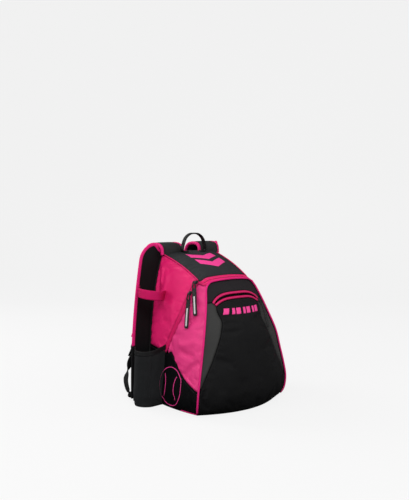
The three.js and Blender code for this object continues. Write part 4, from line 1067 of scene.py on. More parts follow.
def sewn_panel(name, face, place, material, nodes, step=3.0, lift=None, relief=None, sides=(1, 1, 1, 1),
               thickness=2.0, roll=1.5, side=1, stitches=None, inset=5.0, spacing=(1.0, 1.0)):
    """One cloth panel: its place on the form, its own folds, and rolled edges where it is sewn."""
    p, n, a, b = face_grid(face, place, step, lift, spacing)
    p, n = on_side(side, p), on_side(side, n)
    distance = edge_distance(p, sides)
    height = seam_roll(distance, roll)
    if relief is not None:
        height = height + relief(p, a, b) * smooth(distance / 14.0)
        height = height + value_noise(p, 7.5, 5) * 0.45 * np.exp(-(distance / 11.0) ** 2) * smooth(distance / 3.0)
    outer = p + n * height[..., None]
    if name in SETTLED:
        outer = outer + resample(SETTLED[name], *p.shape[:2])
    inner = outer - grid_normals(outer, n) * thickness
    # Closeness to the seams, which the cloth shader turns into painted shade.
    seam = 1 - smooth(distance / 5.0)
    SKINS[name] = (outer, grid_normals(outer, n))
    obj = finish_piece(wall(name, outer, inner, finish_of(material), seam=seam), nodes)
    for thread, which in (stitches or []):
        note_stitches(thread, border_line(name, which, inset))
    return obj


def border_line(name, which, inset, lift=0.1):
    """A line along one border of a panel, inset millimetres in from it."""
    outer, n = SKINS[name]
    if which[0] == "b":
        outer, n = outer.transpose(1, 0, 2), n.transpose(1, 0, 2)
    if which[1] == "1":
        outer, n = outer[::-1], n[::-1]
    run = run_along(outer, 0)
    line = []
    for j in range(outer.shape[1]):
        k = np.interp(inset, run[:, j], np.arange(outer.shape[0]))
        low = int(min(k, outer.shape[0] - 2))
        line.append(lerp(outer[low, j], outer[low + 1, j], k - low) + lerp(n[low, j], n[low + 1, j], k - low) * lift)
    line = np.array(line)
    end = run_along(line[None], 1)[0]
    keep = (end > inset) & (end < end[-1] - inset)
    return line[keep]


def on_skin(name, target, axes, start=(0.5, 0.5)):
    """Points and normals of a panel where two of its coordinates have the given values."""
    outer, n = SKINS[name]
    rows, columns = outer.shape[:2]
    target = np.asarray(target, float)
    at = np.tile(np.array(start, float), (len(target), 1)) * [rows - 1, columns - 1]

    def sample(grid, at):
        at = np.clip(at, 0, [rows - 1.001, columns - 1.001])
        low = at.astype(int)
        f = at - low
        i, j = low[:, 0], low[:, 1]
        top = grid[i, j] * (1 - f[:, :1]) + grid[i + 1, j] * f[:, :1]
        end = grid[i, j + 1] * (1 - f[:, :1]) + grid[i + 1, j + 1] * f[:, :1]
        return top * (1 - f[:, 1:]) + end * f[:, 1:]

    for _ in range(25):
        here = sample(outer, at)[:, axes]
        step_i = (sample(outer, at + [0.5, 0]) - sample(outer, at - [0.5, 0]))[:, axes]
        step_j = (sample(outer, at + [0, 0.5]) - sample(outer, at - [0, 0.5]))[:, axes]
        miss = target - here
        det = step_i[:, 0] * step_j[:, 1] - step_i[:, 1] * step_j[:, 0]
        det = np.where(np.abs(det) < 1e-6, 1e-6, det)
        di = (miss[:, 0] * step_j[:, 1] - miss[:, 1] * step_j[:, 0]) / det
        dj = (step_i[:, 0] * miss[:, 1] - step_i[:, 1] * miss[:, 0]) / det
        at = at + np.clip(np.stack([di, dj], -1), -4, 4)
        at = np.clip(at, 0, [rows - 1.001, columns - 1.001])
    return sample(outer, at), unit(sample(n, at))


def ribbon_on(name, skin, line, width, axes, material, closed=False, start=(0.5, 0.5), lift=0.45,
              shear=None):
    """A printed or sewn-on band of even width that follows a panel. line is in two of its coordinates."""
    line = np.asarray(line, float)
    if closed:
        line = np.vstack([line, line[:1]])
    fine = [line[0]]
    for p, q in zip(line[:-1], line[1:]):
        count = max(1, int(np.linalg.norm(q - p) / 2.0))
        fine += [lerp(p, q, (i + 1) / count) for i in range(count)]
    fine = np.array(fine)
    ahead = np.vstack([fine[1:], fine[-1:]]) - fine
    behind = fine - np.vstack([fine[:1], fine[:-1]])
    if closed:
        ahead[-1], behind[0] = ahead[0], behind[-1]
    else:
        ahead[-1], behind[0] = behind[-1], ahead[0]
    ahead, behind = unit(ahead), unit(behind)
    middle = unit(ahead + behind)
    side = np.stack([-middle[:, 1], middle[:, 0]], -1)
    reach = 1 / np.clip(np.sum(middle * ahead, axis=1), 0.5, 1)
    count = max(2, int(width / 2.0)) + 1
    if shear is not None:
        side, reach = np.tile(np.asarray(shear, float), (len(fine), 1)), np.ones(len(fine))
    rows = [fine + side * (reach * width * k)[:, None] for k in np.linspace(-0.5, 0.5, count)]
    flat = np.concatenate(rows)
    p, n = on_skin(skin, flat, axes, start)
    p, n = p.reshape(count, -1, 3), n.reshape(count, -1, 3)
    return finish_piece(wall(name, p + n * lift, p - n * 0.15, finish_of(material)), [])


class BackpackSizes(bpy.types.PropertyGroup):
    """Sizes of the cloth, trim and stitching."""

    cloth_thickness: FloatProperty(
        name="Cloth thickness", description="Padded cloth of the body", default=0.0022, min=0.001, max=0.004,
        unit="LENGTH", subtype="DISTANCE")
    cloth_cell: FloatProperty(
        name="Cloth cell", description="Size of the cells of the cloth meshes", default=0.0028, min=0.0015,
        max=0.01, unit="LENGTH", subtype="DISTANCE")
    fold_depth: FloatProperty(
        name="Fold depth", description="Depth of the soft dents in the stuffed cloth", default=0.0016, min=0.0,
        max=0.004, unit="LENGTH", subtype="DISTANCE")
    piping: FloatProperty(
        name="Piping", description="Diameter of the cord round the front panel", default=0.0052, min=0.003,
        max=0.006, unit="LENGTH", subtype="DISTANCE")
    stitch_pitch: FloatProperty(
        name="Stitch pitch", description="From one stitch to the next", default=0.0036, min=0.002, max=0.008,
        unit="LENGTH", subtype="DISTANCE")
    net_cell: FloatProperty(
        name="Net cell", description="Width of one hole of the bat sleeves' net", default=0.0030, min=0.002,
        max=0.008, unit="LENGTH", subtype="DISTANCE")
    net_thread: FloatProperty(
        name="Net thread", description="Radius of the net's thread", default=0.00048, min=0.0002, max=0.001,
        unit="LENGTH", subtype="DISTANCE")
    strap_channels: IntProperty(
        name="Strap channels", description="Sewn channels across each shoulder strap", default=5, min=0, max=12)


def colour_setting(name, description, default):
    return FloatVectorProperty(
        name=name, description=description, default=default, min=0, max=1, subtype="COLOR", size=3)


class BackpackColours(bpy.types.PropertyGroup):
    """Colours of the cloth and trim."""

    coated_pink: colour_setting("Coated pink", "Sides, zip band and seams", (0.66, 0.009, 0.125))
    light_pink: colour_setting("Light pink", "Cloth between the zip and the front", (0.66, 0.029, 0.178))
    binding_pink: colour_setting("Binding pink", "Piping and bindings", (0.72, 0.013, 0.18))
    elastic_pink: colour_setting("Elastic pink", "Bat straps", (0.54, 0.005, 0.1))
    print_pink: colour_setting("Print pink", "Printed shapes", (0.8, 0.05, 0.27))
    charcoal: colour_setting("Charcoal", "Top of the bag", (0.024, 0.026, 0.028))
    wedge_grey: colour_setting("Wedge grey", "Cloth beside the front pocket", (0.044, 0.044, 0.043))
    upper_grey: colour_setting("Upper grey", "Cloth above the front pocket", (0.018, 0.016, 0.018))
    black: colour_setting("Black", "Front pocket, lower sides and flaps", (0.0055, 0.0055, 0.006))
    lower_black: colour_setting("Lower black", "Lower sides", (0.0022, 0.0024, 0.0028))
    mesh_black: colour_setting("Mesh black", "Padded mesh of the back and the straps", (0.022, 0.022, 0.023))
    net: colour_setting("Net", "Net of the bat sleeves", (0.03, 0.032, 0.034))
    inlay_grey: colour_setting("Inlay grey", "Strips in the zip pulls", (0.5, 0.5, 0.5))


def sizes_mm():
    s = bpy.context.scene.backpack_sizes
    names = ("cloth_thickness", "cloth_cell", "fold_depth", "piping", "stitch_pitch", "net_cell", "net_thread")
    return {name: getattr(s, name) / MM for name in names}


class BACKPACK_OT_stuffing(bpy.types.Operator):
    """Stuffed cloth: the body's panels swell between their seams in Blender's cloth simulation"""

    bl_idname = "backpack.stuffing"
    bl_label = "Stuffing"

    def execute(self, context):
        jobs = {
            "top_panel": skin_job(gusset, top_place, None, 4.0, 0.012, 3.5, seed=11),
            "front_pocket": skin_job(front, pocket_place, pocket_lift, 3.0, 0.016, 4.5, seed=51),
        }
        for side, end in ((1, "right"), (-1, "left")):
            jobs[f"side_panel_{end}"] = skin_job(gusset, side_place, None, 4.0, 0.02, 4.5, side=side, seed=21 + side)
            jobs[f"front_gusset_{end}"] = skin_job(
                gusset, front_gusset_place, None, 4.0, 0.02, 4.5, side=side, seed=31 + side)
            jobs[f"lower_side_{end}"] = skin_job(
                gusset, lower_side_place, None, 3.0, 0.012, 3.0, side=side, seed=41 + side)
        SETTLED.update(settle(jobs))
        return {"FINISHED"}


class BACKPACK_OT_body_sides(bpy.types.Operator):
    """Top, sides, gussets and lower sides of the bag"""

    bl_idname = "backpack.body_sides"
    bl_label = "Body sides"

    def execute(self, context):
        s = sizes_mm()
        cell, thick, depth = s["cloth_cell"], s["cloth_thickness"], s["fold_depth"]
        sewn_panel(
            "top_panel", gusset, top_place, "charcoal_cloth", ["top_panel"], cell,
            relief=lambda p, a, b: dents(p, 11, depth * 0.9), thickness=thick,
            stitches=[("black", "a0"), ("black", "a1"), ("black", "b1")])
        for side, end in ((1, "right"), (-1, "left")):
            def side_relief(p, a, b, side=side):
                def at(points):
                    q = gusset(*side_place(*np.array(points, float).T))
                    return on_side(side, q)
                lift = dents(p, 21 if side > 0 else 24, depth * 1.5)
                lift += crease(p, at([(0.93, 0.02), (0.8, 0.16), (0.66, 0.24)]), 6, 3.4)
                lift += crease(p, at([(0.88, 0.3), (0.74, 0.34), (0.56, 0.3), (0.4, 0.34)]), 9, 3.4)
                lift += crease(p, at([(0.54, 0.3), (0.52, 0.55), (0.56, 0.85)]), 16, 4.6)
                lift += crease(p, at([(0.9, 0.06), (0.72, 0.1), (0.5, 0.12)]), 9, -4.8)
                lift += crease(p, at([(0.36, 0.5), (0.34, 0.65), (0.36, 0.9)]), 12, -3.0)
                return lift
            sewn_panel(
                f"side_panel_{end}", gusset, side_place, "coated_pink",
                [f"side_panel_{end}"], cell, relief=side_relief, thickness=thick, side=side,
                stitches=[("pink", "b1"), ("pink", "a1")])

            def gusset_relief(p, a, b, side=side):
                def at(points):
                    q = gusset(*front_gusset_place(*np.array(points, float).T))
                    return on_side(side, q)
                lift = dents(p, 31 if side > 0 else 35, depth * 1.6)
                lift += crease(p, at([(0.5, 0.25), (0.42, 0.55), (0.46, 0.9)]), 10, 3.2)
                lift += crease(p, at([(0.34, 0.35), (0.3, 0.6), (0.3, 0.85)]), 9, -3.4)
                lift += crease(p, at([(0.72, 0.55), (0.66, 0.8), (0.68, 0.97)]), 9, -3.2)
                return lift
            sewn_panel(
                f"front_gusset_{end}", gusset, front_gusset_place, "light_pink",
                [f"front_gusset_{end}"], cell, relief=gusset_relief, thickness=thick, side=side,
                stitches=[("pink", "a0"), ("pink", "b1")])
            sewn_panel(
                f"lower_side_{end}", gusset, lower_side_place, "lower_cloth",
                [f"lower_side_{end}"], cell, relief=lambda p, a, b: dents(p, 41, depth * 1.4), thickness=thick,
                side=side, stitches=[("black", "a1")])
        return {"FINISHED"}


class BACKPACK_OT_front(bpy.types.Operator):
    """Front pocket with its lips, and the cloth beside, above and behind it"""

    bl_idname = "backpack.front"
    bl_label = "Front pocket"

    def execute(self, context):
        s = sizes_mm()
        cell, thick, depth = s["cloth_cell"], s["cloth_thickness"], s["fold_depth"]

        def pocket_relief(p, a, b):
            lift = dents(p, 51, depth * 1.5)
            for x, z0, z1, deep in ((-40, 30, 100, -2.4), (-95, 14, 70, 2.6), (20, 20, 90, 2.2), (85, 14, 60, -2.2)):
                line = [front(np.array(x / 150.0), np.array(z / FRONT_HEIGHT)) for z in (z0, (z0 + z1) / 2, z1)]
                lift += crease(p, line, 11, deep)
            return lift
        sewn_panel(
            "front_pocket", front, pocket_place, "black_cloth", ["front_pocket"], cell,
            lift=pocket_lift, relief=pocket_relief, thickness=thick,
            stitches=[("black", "a0"), ("black", "a1"), ("black", "b1")])
        for side, end in ((1, "right"), (-1, "left")):
            sewn_panel(
                f"front_wedge_{end}", front, wedge_place, "wedge_cloth",
                [f"front_wedge_{end}"], cell, relief=lambda p, a, b: dents(p, 61, depth * 0.8), thickness=thick,
                side=side, stitches=[("black", "a0")])
        sewn_panel(
            "front_upper_panel", front, upper_panel_place, "upper_cloth",
            ["front_upper_panel"], cell, relief=lambda p, a, b: dents(p, 71, depth * 0.8), thickness=thick,
            stitches=[("black", "b0")])

        def lip_round(a, b):
            return 1.8 * np.sin(np.pi * clamp01(b)) ** 0.7
        for side, end in ((-1, "lower"), (1, "upper")):
            sewn_panel(
                f"pocket_lip_{end}", front, lip_place(side), "coated_pink",
                [f"pocket_lip_{end}"], 1.6, lift=lip_round, roll=0.4, thickness=1.6, spacing=(1.6, 0.6))
        sewn_panel(
            "pocket_back", front, pocket_back_place, "black_lining", ["pocket_back"], 5.0,
            lift=pocket_back_lift, roll=0.3, thickness=1.6)
        return {"FINISHED"}


class BACKPACK_OT_main_zip(bpy.types.Operator):
    """Arched main zip: two turned tapes with the coil between them"""

    bl_idname = "backpack.main_zip"
    bl_label = "Main zip"

    def execute(self, context):
        def band_lift(a, b):
            away = np.abs(b - 0.5) * 2
            fold = np.exp(-((away - 0.46) / 0.26) ** 2) * 2.6
            valley = -1.0 * np.exp(-(away / 0.16) ** 2)
            return fold + valley
        sewn_panel(
            "main_zip", gusset, zip_band_place, "coated_pink", ["main_zip"], 1.3,
            lift=band_lift, sides=(0, 0, 1, 1), roll=0.6, thickness=2.0, spacing=(2.4, 1.0))
        around = np.linspace(ZIP_FOOT + 0.01, 4 - ZIP_FOOT - 0.01, 700)
        along = zip_line(around)
        line = gusset(around, along)
        n = normals_of(gusset, around, along)
        coil = even(line - n * 0.6, 1500)
        tangent = unit(np.gradient(coil, axis=0))
        out = unit(np.interp(np.linspace(0, 1, len(coil)), np.linspace(0, 1, len(n)), n[:, 0])[:, None] * [1, 0, 0]
                   + np.interp(np.linspace(0, 1, len(coil)), np.linspace(0, 1, len(n)), n[:, 1])[:, None] * [0, 1, 0]
                   + np.interp(np.linspace(0, 1, len(coil)), np.linspace(0, 1, len(n)), n[:, 2])[:, None] * [0, 0, 1])
        across = unit(np.cross(tangent, out))
        swing = np.where(np.arange(len(coil)) % 2, 1.0, -1.0)[:, None]
        zigzag = coil + across * swing * 1.3
        tree = net_tree()
        obj = run_tree("main_zip_coil", tree, [(zigzag, False)], {"Thread": 0.42 * MM}, finish_of("dark_metal"))
        finish_piece(obj, [])
        return {"FINISHED"}


class BACKPACK_OT_base(bpy.types.Operator):
    """Reinforced base"""

    bl_idname = "backpack.base"
    bl_label = "Base"

    def execute(self, context):
        half = 60
        along = np.linspace(0, 1, half)
        right = gusset(np.zeros(half), along)
        ahead = front(np.linspace(1, -1, 2 * half)[1:-1], np.zeros(2 * half - 2))
        left = flip_x(right)[::-1]
        outline = np.vstack([right, ahead, left])[:, :2]
        back = stack(np.linspace(-1, 1, 41)[1:-1] * abs(outline[0, 0]), np.full(39, outline[0, 1]))
        outline = np.vstack([outline, back])
        centre = outline.mean(0)
        loops = []
        for inset, z in ((6.0, 0.25), (1.6, 0.1), (0.5, 0.8), (0.15, 1.6), (0.5, 2.6), (3.0, 2.9)):
            pull = unit(outline - centre) * inset
            loops.append(np.column_stack([outline - pull, np.full(len(outline), z)]))
        finish_piece(sweep("base_panel", loops, finish_of("black_cloth")), ["base_panel"])
        return {"FINISHED"}


def seam_tongue(name, line, inwards, width, thickness):
    """A strip of black cloth behind a seam, so that nothing shows through under its piping."""
    finish_piece(belt(name, line, inwards, width, thickness, finish_of("black_lining")), [])


class BACKPACK_OT_piping(bpy.types.Operator):
    """Piping round the front panel and along the top's side seams"""

    bl_idname = "backpack.piping"
    bl_label = "Piping"

    def execute(self, context):
        size = sizes_mm()["piping"]
        around = np.linspace(0.03, 3.97, 420)
        folded = np.where(around > 2, 4 - around, around)
        seam = gusset(around, np.ones_like(around))
        top_span = HALF_WIDTH * float(read(SECTIONS, FRONT_SPAN, 1.0))
        on_top = folded > 1
        u = np.where(on_top, seam[:, 0] / top_span, np.sign(seam[:, 0]) * 0.996)
        v = np.where(on_top, top_rise(folded) - 0.004, np.minimum(folded, 1 - ROUND_RISE))
        ahead = normals_of(front, u, v)
        aside = normals_of(gusset, around, np.full_like(around, 0.996))
        line = seam + unit(ahead + aside) * 2.9
        for _ in range(3):
            line[1:-1] = (line[:-2] + 2 * line[1:-1] + line[2:]) / 4
        obj = tube("front_piping", line, size, finish_of("pink_tape"), sides=12)
        finish_piece(obj, ["front_piping"])
        inwards = -unit(ahead + aside)
        seam_tongue("front_seam", line + inwards * 5.2, inwards, 8.4, 3.6)
        for side, end in ((1, "right"), (-1, "left")):
            up_seam = np.linspace(0.004, 0.9, 60)
            rear = gusset(up_seam, np.full_like(up_seam, 0.004))
            inwards = -normals_of(gusset, up_seam, np.full_like(up_seam, 0.02))
            inwards = unit(inwards * [1, 0, 0])
            rear = rear + inwards * 4.2
            rear, inwards = on_side(side, rear), on_side(side, inwards)
            seam_tongue(f"rear_seam_{end}", rear, inwards, 8.0, 3.0)
            back = np.linspace(0.999, 0.74, 40)
            foot = gusset(np.full_like(back, 0.014), back)
            foot = foot + normals_of(gusset, np.full_like(back, 0.014), back) * 1.1
            foot[:, 2] = np.maximum(foot[:, 2], 2.4)
            obj = tube(f"base_piping_{end}", on_side(side, foot), 2.6, finish_of("pink_tape"), sides=8)
            finish_piece(obj, [])
            along = np.linspace(0.012, float(band_rear(np.array(1.0))) - 0.02, 60)
            up = normals_of(gusset, np.full_like(along, 1.004), along)
            out = normals_of(gusset, np.full_like(along, 0.996), along)
            line = gusset(np.ones_like(along), along) + unit(up + out) * 1.5
            obj = tube(f"top_piping_{end}", on_side(side, line), 3.4, finish_of("coated_pink"), sides=10)
            finish_piece(obj, [f"top_piping_{end}"])
            tuck = -unit(up + out)
            tongue = line + tuck * 4.6
            tongue, tuck = on_side(side, tongue), on_side(side, tuck)
            seam_tongue(f"top_seam_{end}", tongue, tuck, 7.0, 3.0)
        return {"FINISHED"}


def pad_half(z):
    return rear_edge(clamp01(np.asarray(z, float) / BODY_HEIGHT))[..., 0] + PAD_OVERHANG


PAD_TOP = BODY_HEIGHT + TOP_CROWN - 3
CREASE = SHOULDER_X + SHOULDER_WIDTH / 2 + 12


def wing_half(z):
    k = clamp01(np.asarray(z, float) / EAR_HEIGHT)
    return lerp(WING_FOOT_HALF, WING_TOP_HALF, k) + WING_BOW * 4 * k * (1 - k)


def wing_top(share):
    rise = lerp(PAD_TOP, EAR_HEIGHT, smooth(share / 0.45))
    corner = clamp01(1 - ((1 - share) * (WING_TOP_HALF - float(pad_half(PAD_TOP)))) / EAR_ROUND)
    return rise - EAR_ROUND * (1 - np.sqrt(1 - corner ** 2))


def wing_point(share, level, side, deep=0.0):
    z = lerp(PANEL_FLOOR - FOOT_TUCK, wing_top(share), level)
    x = lerp(pad_half(z) + SEAM_GAP, wing_half(z), share)
    turn = np.zeros_like(z)
    if side > 0:
        turn = math.radians(EAR_FOLD + EAR_TUCK) * smooth((z - FOLD_HEIGHT) / (PAD_TOP - FOLD_HEIGHT))
    past = np.maximum(0, x - CREASE)
    near = smooth(past / 10)
    flat = np.minimum(x, CREASE)
    px = side * (flat + past * np.cos(turn) - deep * np.sin(turn) * near)
    py = BACK_Y + WING_THICKNESS / 2 + past * np.sin(turn) + deep * lerp(1, np.cos(turn), near)
    return stack(px, py, z)


class BACKPACK_OT_back(bpy.types.Operator):
    """Padded back panel, and the flaps behind the bats with their binding"""

    bl_idname = "backpack.back"
    bl_label = "Back and flaps"

    def execute(self, context):
        rows, columns = 150, 110
        level, share = np.meshgrid(np.linspace(0, 1, rows), np.linspace(-1, 1, columns), indexing="ij")
        z = lerp(PANEL_FLOOR, PAD_TOP, level)
        x = pad_half(z) * share
        face = stack(x, np.full_like(x, BACK_Y + PAD_THICKNESS), z)
        distance = edge_distance(face)
        puff = 3.4 * smooth(distance / 26)
        centre = np.exp(-(x / 15) ** 2)
        puff = puff - 7.0 * centre * smooth(distance / 30)
        for height in (96, 182, 268, 350):
            channel = np.exp(-((z - height - 10 * (x / 120) ** 2) / 4.5) ** 2)
            puff -= 3.0 * channel * smooth(distance / 16) * (1 - centre)
        puff += dents(face, 81, 0.8) * smooth(distance / 20) - 3.5 * (1 - smooth(distance / 7)) ** 2
        outer = face + stack(np.zeros_like(x), puff, np.zeros_like(x))
        inner = stack(x, np.full_like(x, BACK_Y + 0.4), z)
        # The seam value near the borders darkens the colour there as painted shade.
        obj = wall("back_panel", outer, inner, finish_of("air_mesh"), seam=1 - smooth(distance / 6))
        SKINS["back_panel"] = (outer, grid_normals(outer, np.array([0, 1.0, 0])))
        finish_piece(obj, ["back_panel"])
        for which in ("a1", "b0", "b1"):
            note_stitches("black", border_line("back_panel", which, 7.0))
        for side, end in ((1, "right"), (-1, "left")):
            level, share = np.meshgrid(np.linspace(0, 1, 130), np.linspace(0, 1, 26), indexing="ij")
            front_face = wing_point(share, level, side, -WING_THICKNESS / 2)
            rear_face = wing_point(share, level, side, WING_THICKNESS / 2)
            middle = (front_face + rear_face) / 2
            n = unit(rear_face - front_face)
            wave = dents(middle, 91, 0.5) * smooth(edge_distance(middle) / 12)
            front_face, rear_face = front_face + n * wave[..., None], rear_face + n * wave[..., None]
            # The seam value near the edges darkens the colour there as painted shade.
            obj = wall(f"wing_{end}", rear_face, front_face, finish_of("black_cloth"),
                       seam=1 - smooth(edge_distance(middle) / 8))
            finish_piece(obj, [f"wing_{end}"])
            spots = np.array(
                [(1.0, lerp(0.02, 1, i / 90)) for i in range(90)] + [(lerp(1, 0.05, i / 60), 1.0) for i in range(61)])
            line = wing_point(spots[:, 0], spots[:, 1], side)
            face_n = unit(wing_point(spots[:, 0], spots[:, 1], side, 1.0) - line)
            tangent = unit(np.gradient(line, axis=0))
            out = unit(np.cross(tangent, face_n))
            inwards = wing_point(np.maximum(0, spots[:, 0] - 0.1), np.maximum(0, spots[:, 1] - 0.05), side) - line
            out = np.where(np.sum(out * inwards, axis=1, keepdims=True) > 0, -out, out)
            for _ in range(6):
                out[1:-1] = unit(out[:-2] + out[1:-1] + out[2:])
            section = [(-0.6, -0.44), (0.6, -0.47), (4, -0.46), (6.6, -0.4), (7.8, -0.24), (8.1, 0),
                       (7.8, 0.24), (6.6, 0.4), (4, 0.46), (0.6, 0.47), (-0.6, 0.44)]
            loops = np.stack([line + out * reach + face_n * deep * 6.0 for reach, deep in section], axis=1)
            split = int(np.argmax(line[:, 2] > SLEEVE_HEIGHT - HEM_SAG))
            obj = sweep(f"wing_binding_{end}", loops[split:], finish_of("pink_tape"))
            finish_piece(obj, [f"wing_binding_{end}"])
            obj = sweep(f"wing_foot_binding_{end}", loops[:split + 1], finish_of("black_cloth"))
            finish_piece(obj, [])
            for deep in (-0.48, 0.48):
                stitched = line + out * 1.5 + face_n * deep * 6.0
                note_stitches("pink", stitched[split + 1:-3])
                note_stitches("black", stitched[3:split])
        return {"FINISHED"}


BAT_Y = BACK_Y - SEAM_GAP - BARREL_D / 2 - BAT_CLEARANCE - SLEEVE_WALL - SLEEVE_SLACK


def sleeve_path(z, landing, reach, count, stand_off=SEAM_GAP + SLEEVE_WALL):
    radius = (BARREL_D / 2 + BAT_CLEARANCE + SLEEVE_WALL) * reach
    centre_x = BAT_X - BAT_LEAN * z
    start = np.array([min(float(wing_half(z)) - 2, centre_x + radius), BACK_Y - SEAM_GAP, z])
    around = np.array(z / lerp(BODY_HEIGHT, FRONT_HEIGHT, landing))
    spot = np.array(landing)
    end = gusset(around, spot) + normals_of(gusset, around, spot) * stand_off
    end[2] = z
    points = [start]
    for turn in (15, -15, -45, -75, -100):
        angle = math.radians(turn)
        points.append(np.array([centre_x + radius * math.cos(angle), BAT_Y + radius * math.sin(angle), z]))
    points.append(end)
    return catmull(points, count)


def standing_band(landing, foot_at, head_at, rows, columns, reach_at, stand_off=SEAM_GAP + SLEEVE_WALL):
    """A grid of points on a band that stands round a bat."""
    k = np.linspace(0, 1, columns + 1)
    grid = []
    for i in range(rows + 1):
        level = i / rows
        z = lerp(foot_at(k), head_at(k), level)
        low, high = (
            sleeve_path(at, landing, reach_at(level), columns, stand_off) for at in (z.min(), z.max()))
        share = ((z - z.min()) / max(np.ptp(z), 0.001))[:, None]
        grid.append(np.column_stack([lerp(low, high, share)[:, :2], z]))
    return np.array(grid)


def band_inwards(grid):
    tangent = unit(np.gradient(grid, axis=1) * [1, 1, 0])
    return np.stack([-tangent[..., 1], tangent[..., 0], np.zeros(tangent.shape[:2])], -1)


def sleeve_reach(level):
    return lerp(0.9, 1.06, smooth(np.asarray(level) / 0.2))


def sleeve_top(k):
    return SLEEVE_HEIGHT + lerp(-HEM_SAG, HEM_RISE, k) - HEM_SAG * np.sin(np.pi * k)


SLEEVE_ROWS, SLEEVE_COLUMNS, HEM_ROWS = 60, 80, 6
PLEATS, PLEAT_DEPTH = 15, 1.1
HEM_HALF_THICKNESS = 1.0
# share of the outline, inset, height
FLOOR_RINGS = (
    (0.05, 0, 1.1), (0.5, 0, 1.1), (1, 3.0, 1.0), (1, 0.8, 1.6), (1, 0.3, 2.8), (1, 0.8, 4.2), (1, 3.0, 4.7),
    (0.5, 0, 4.4), (0.05, 0, 4.2))
INSIDE_SLEEVE, INSIDE_STRAP = np.array([194, BAT_Y, 80]), np.array([178, BAT_Y, 312])


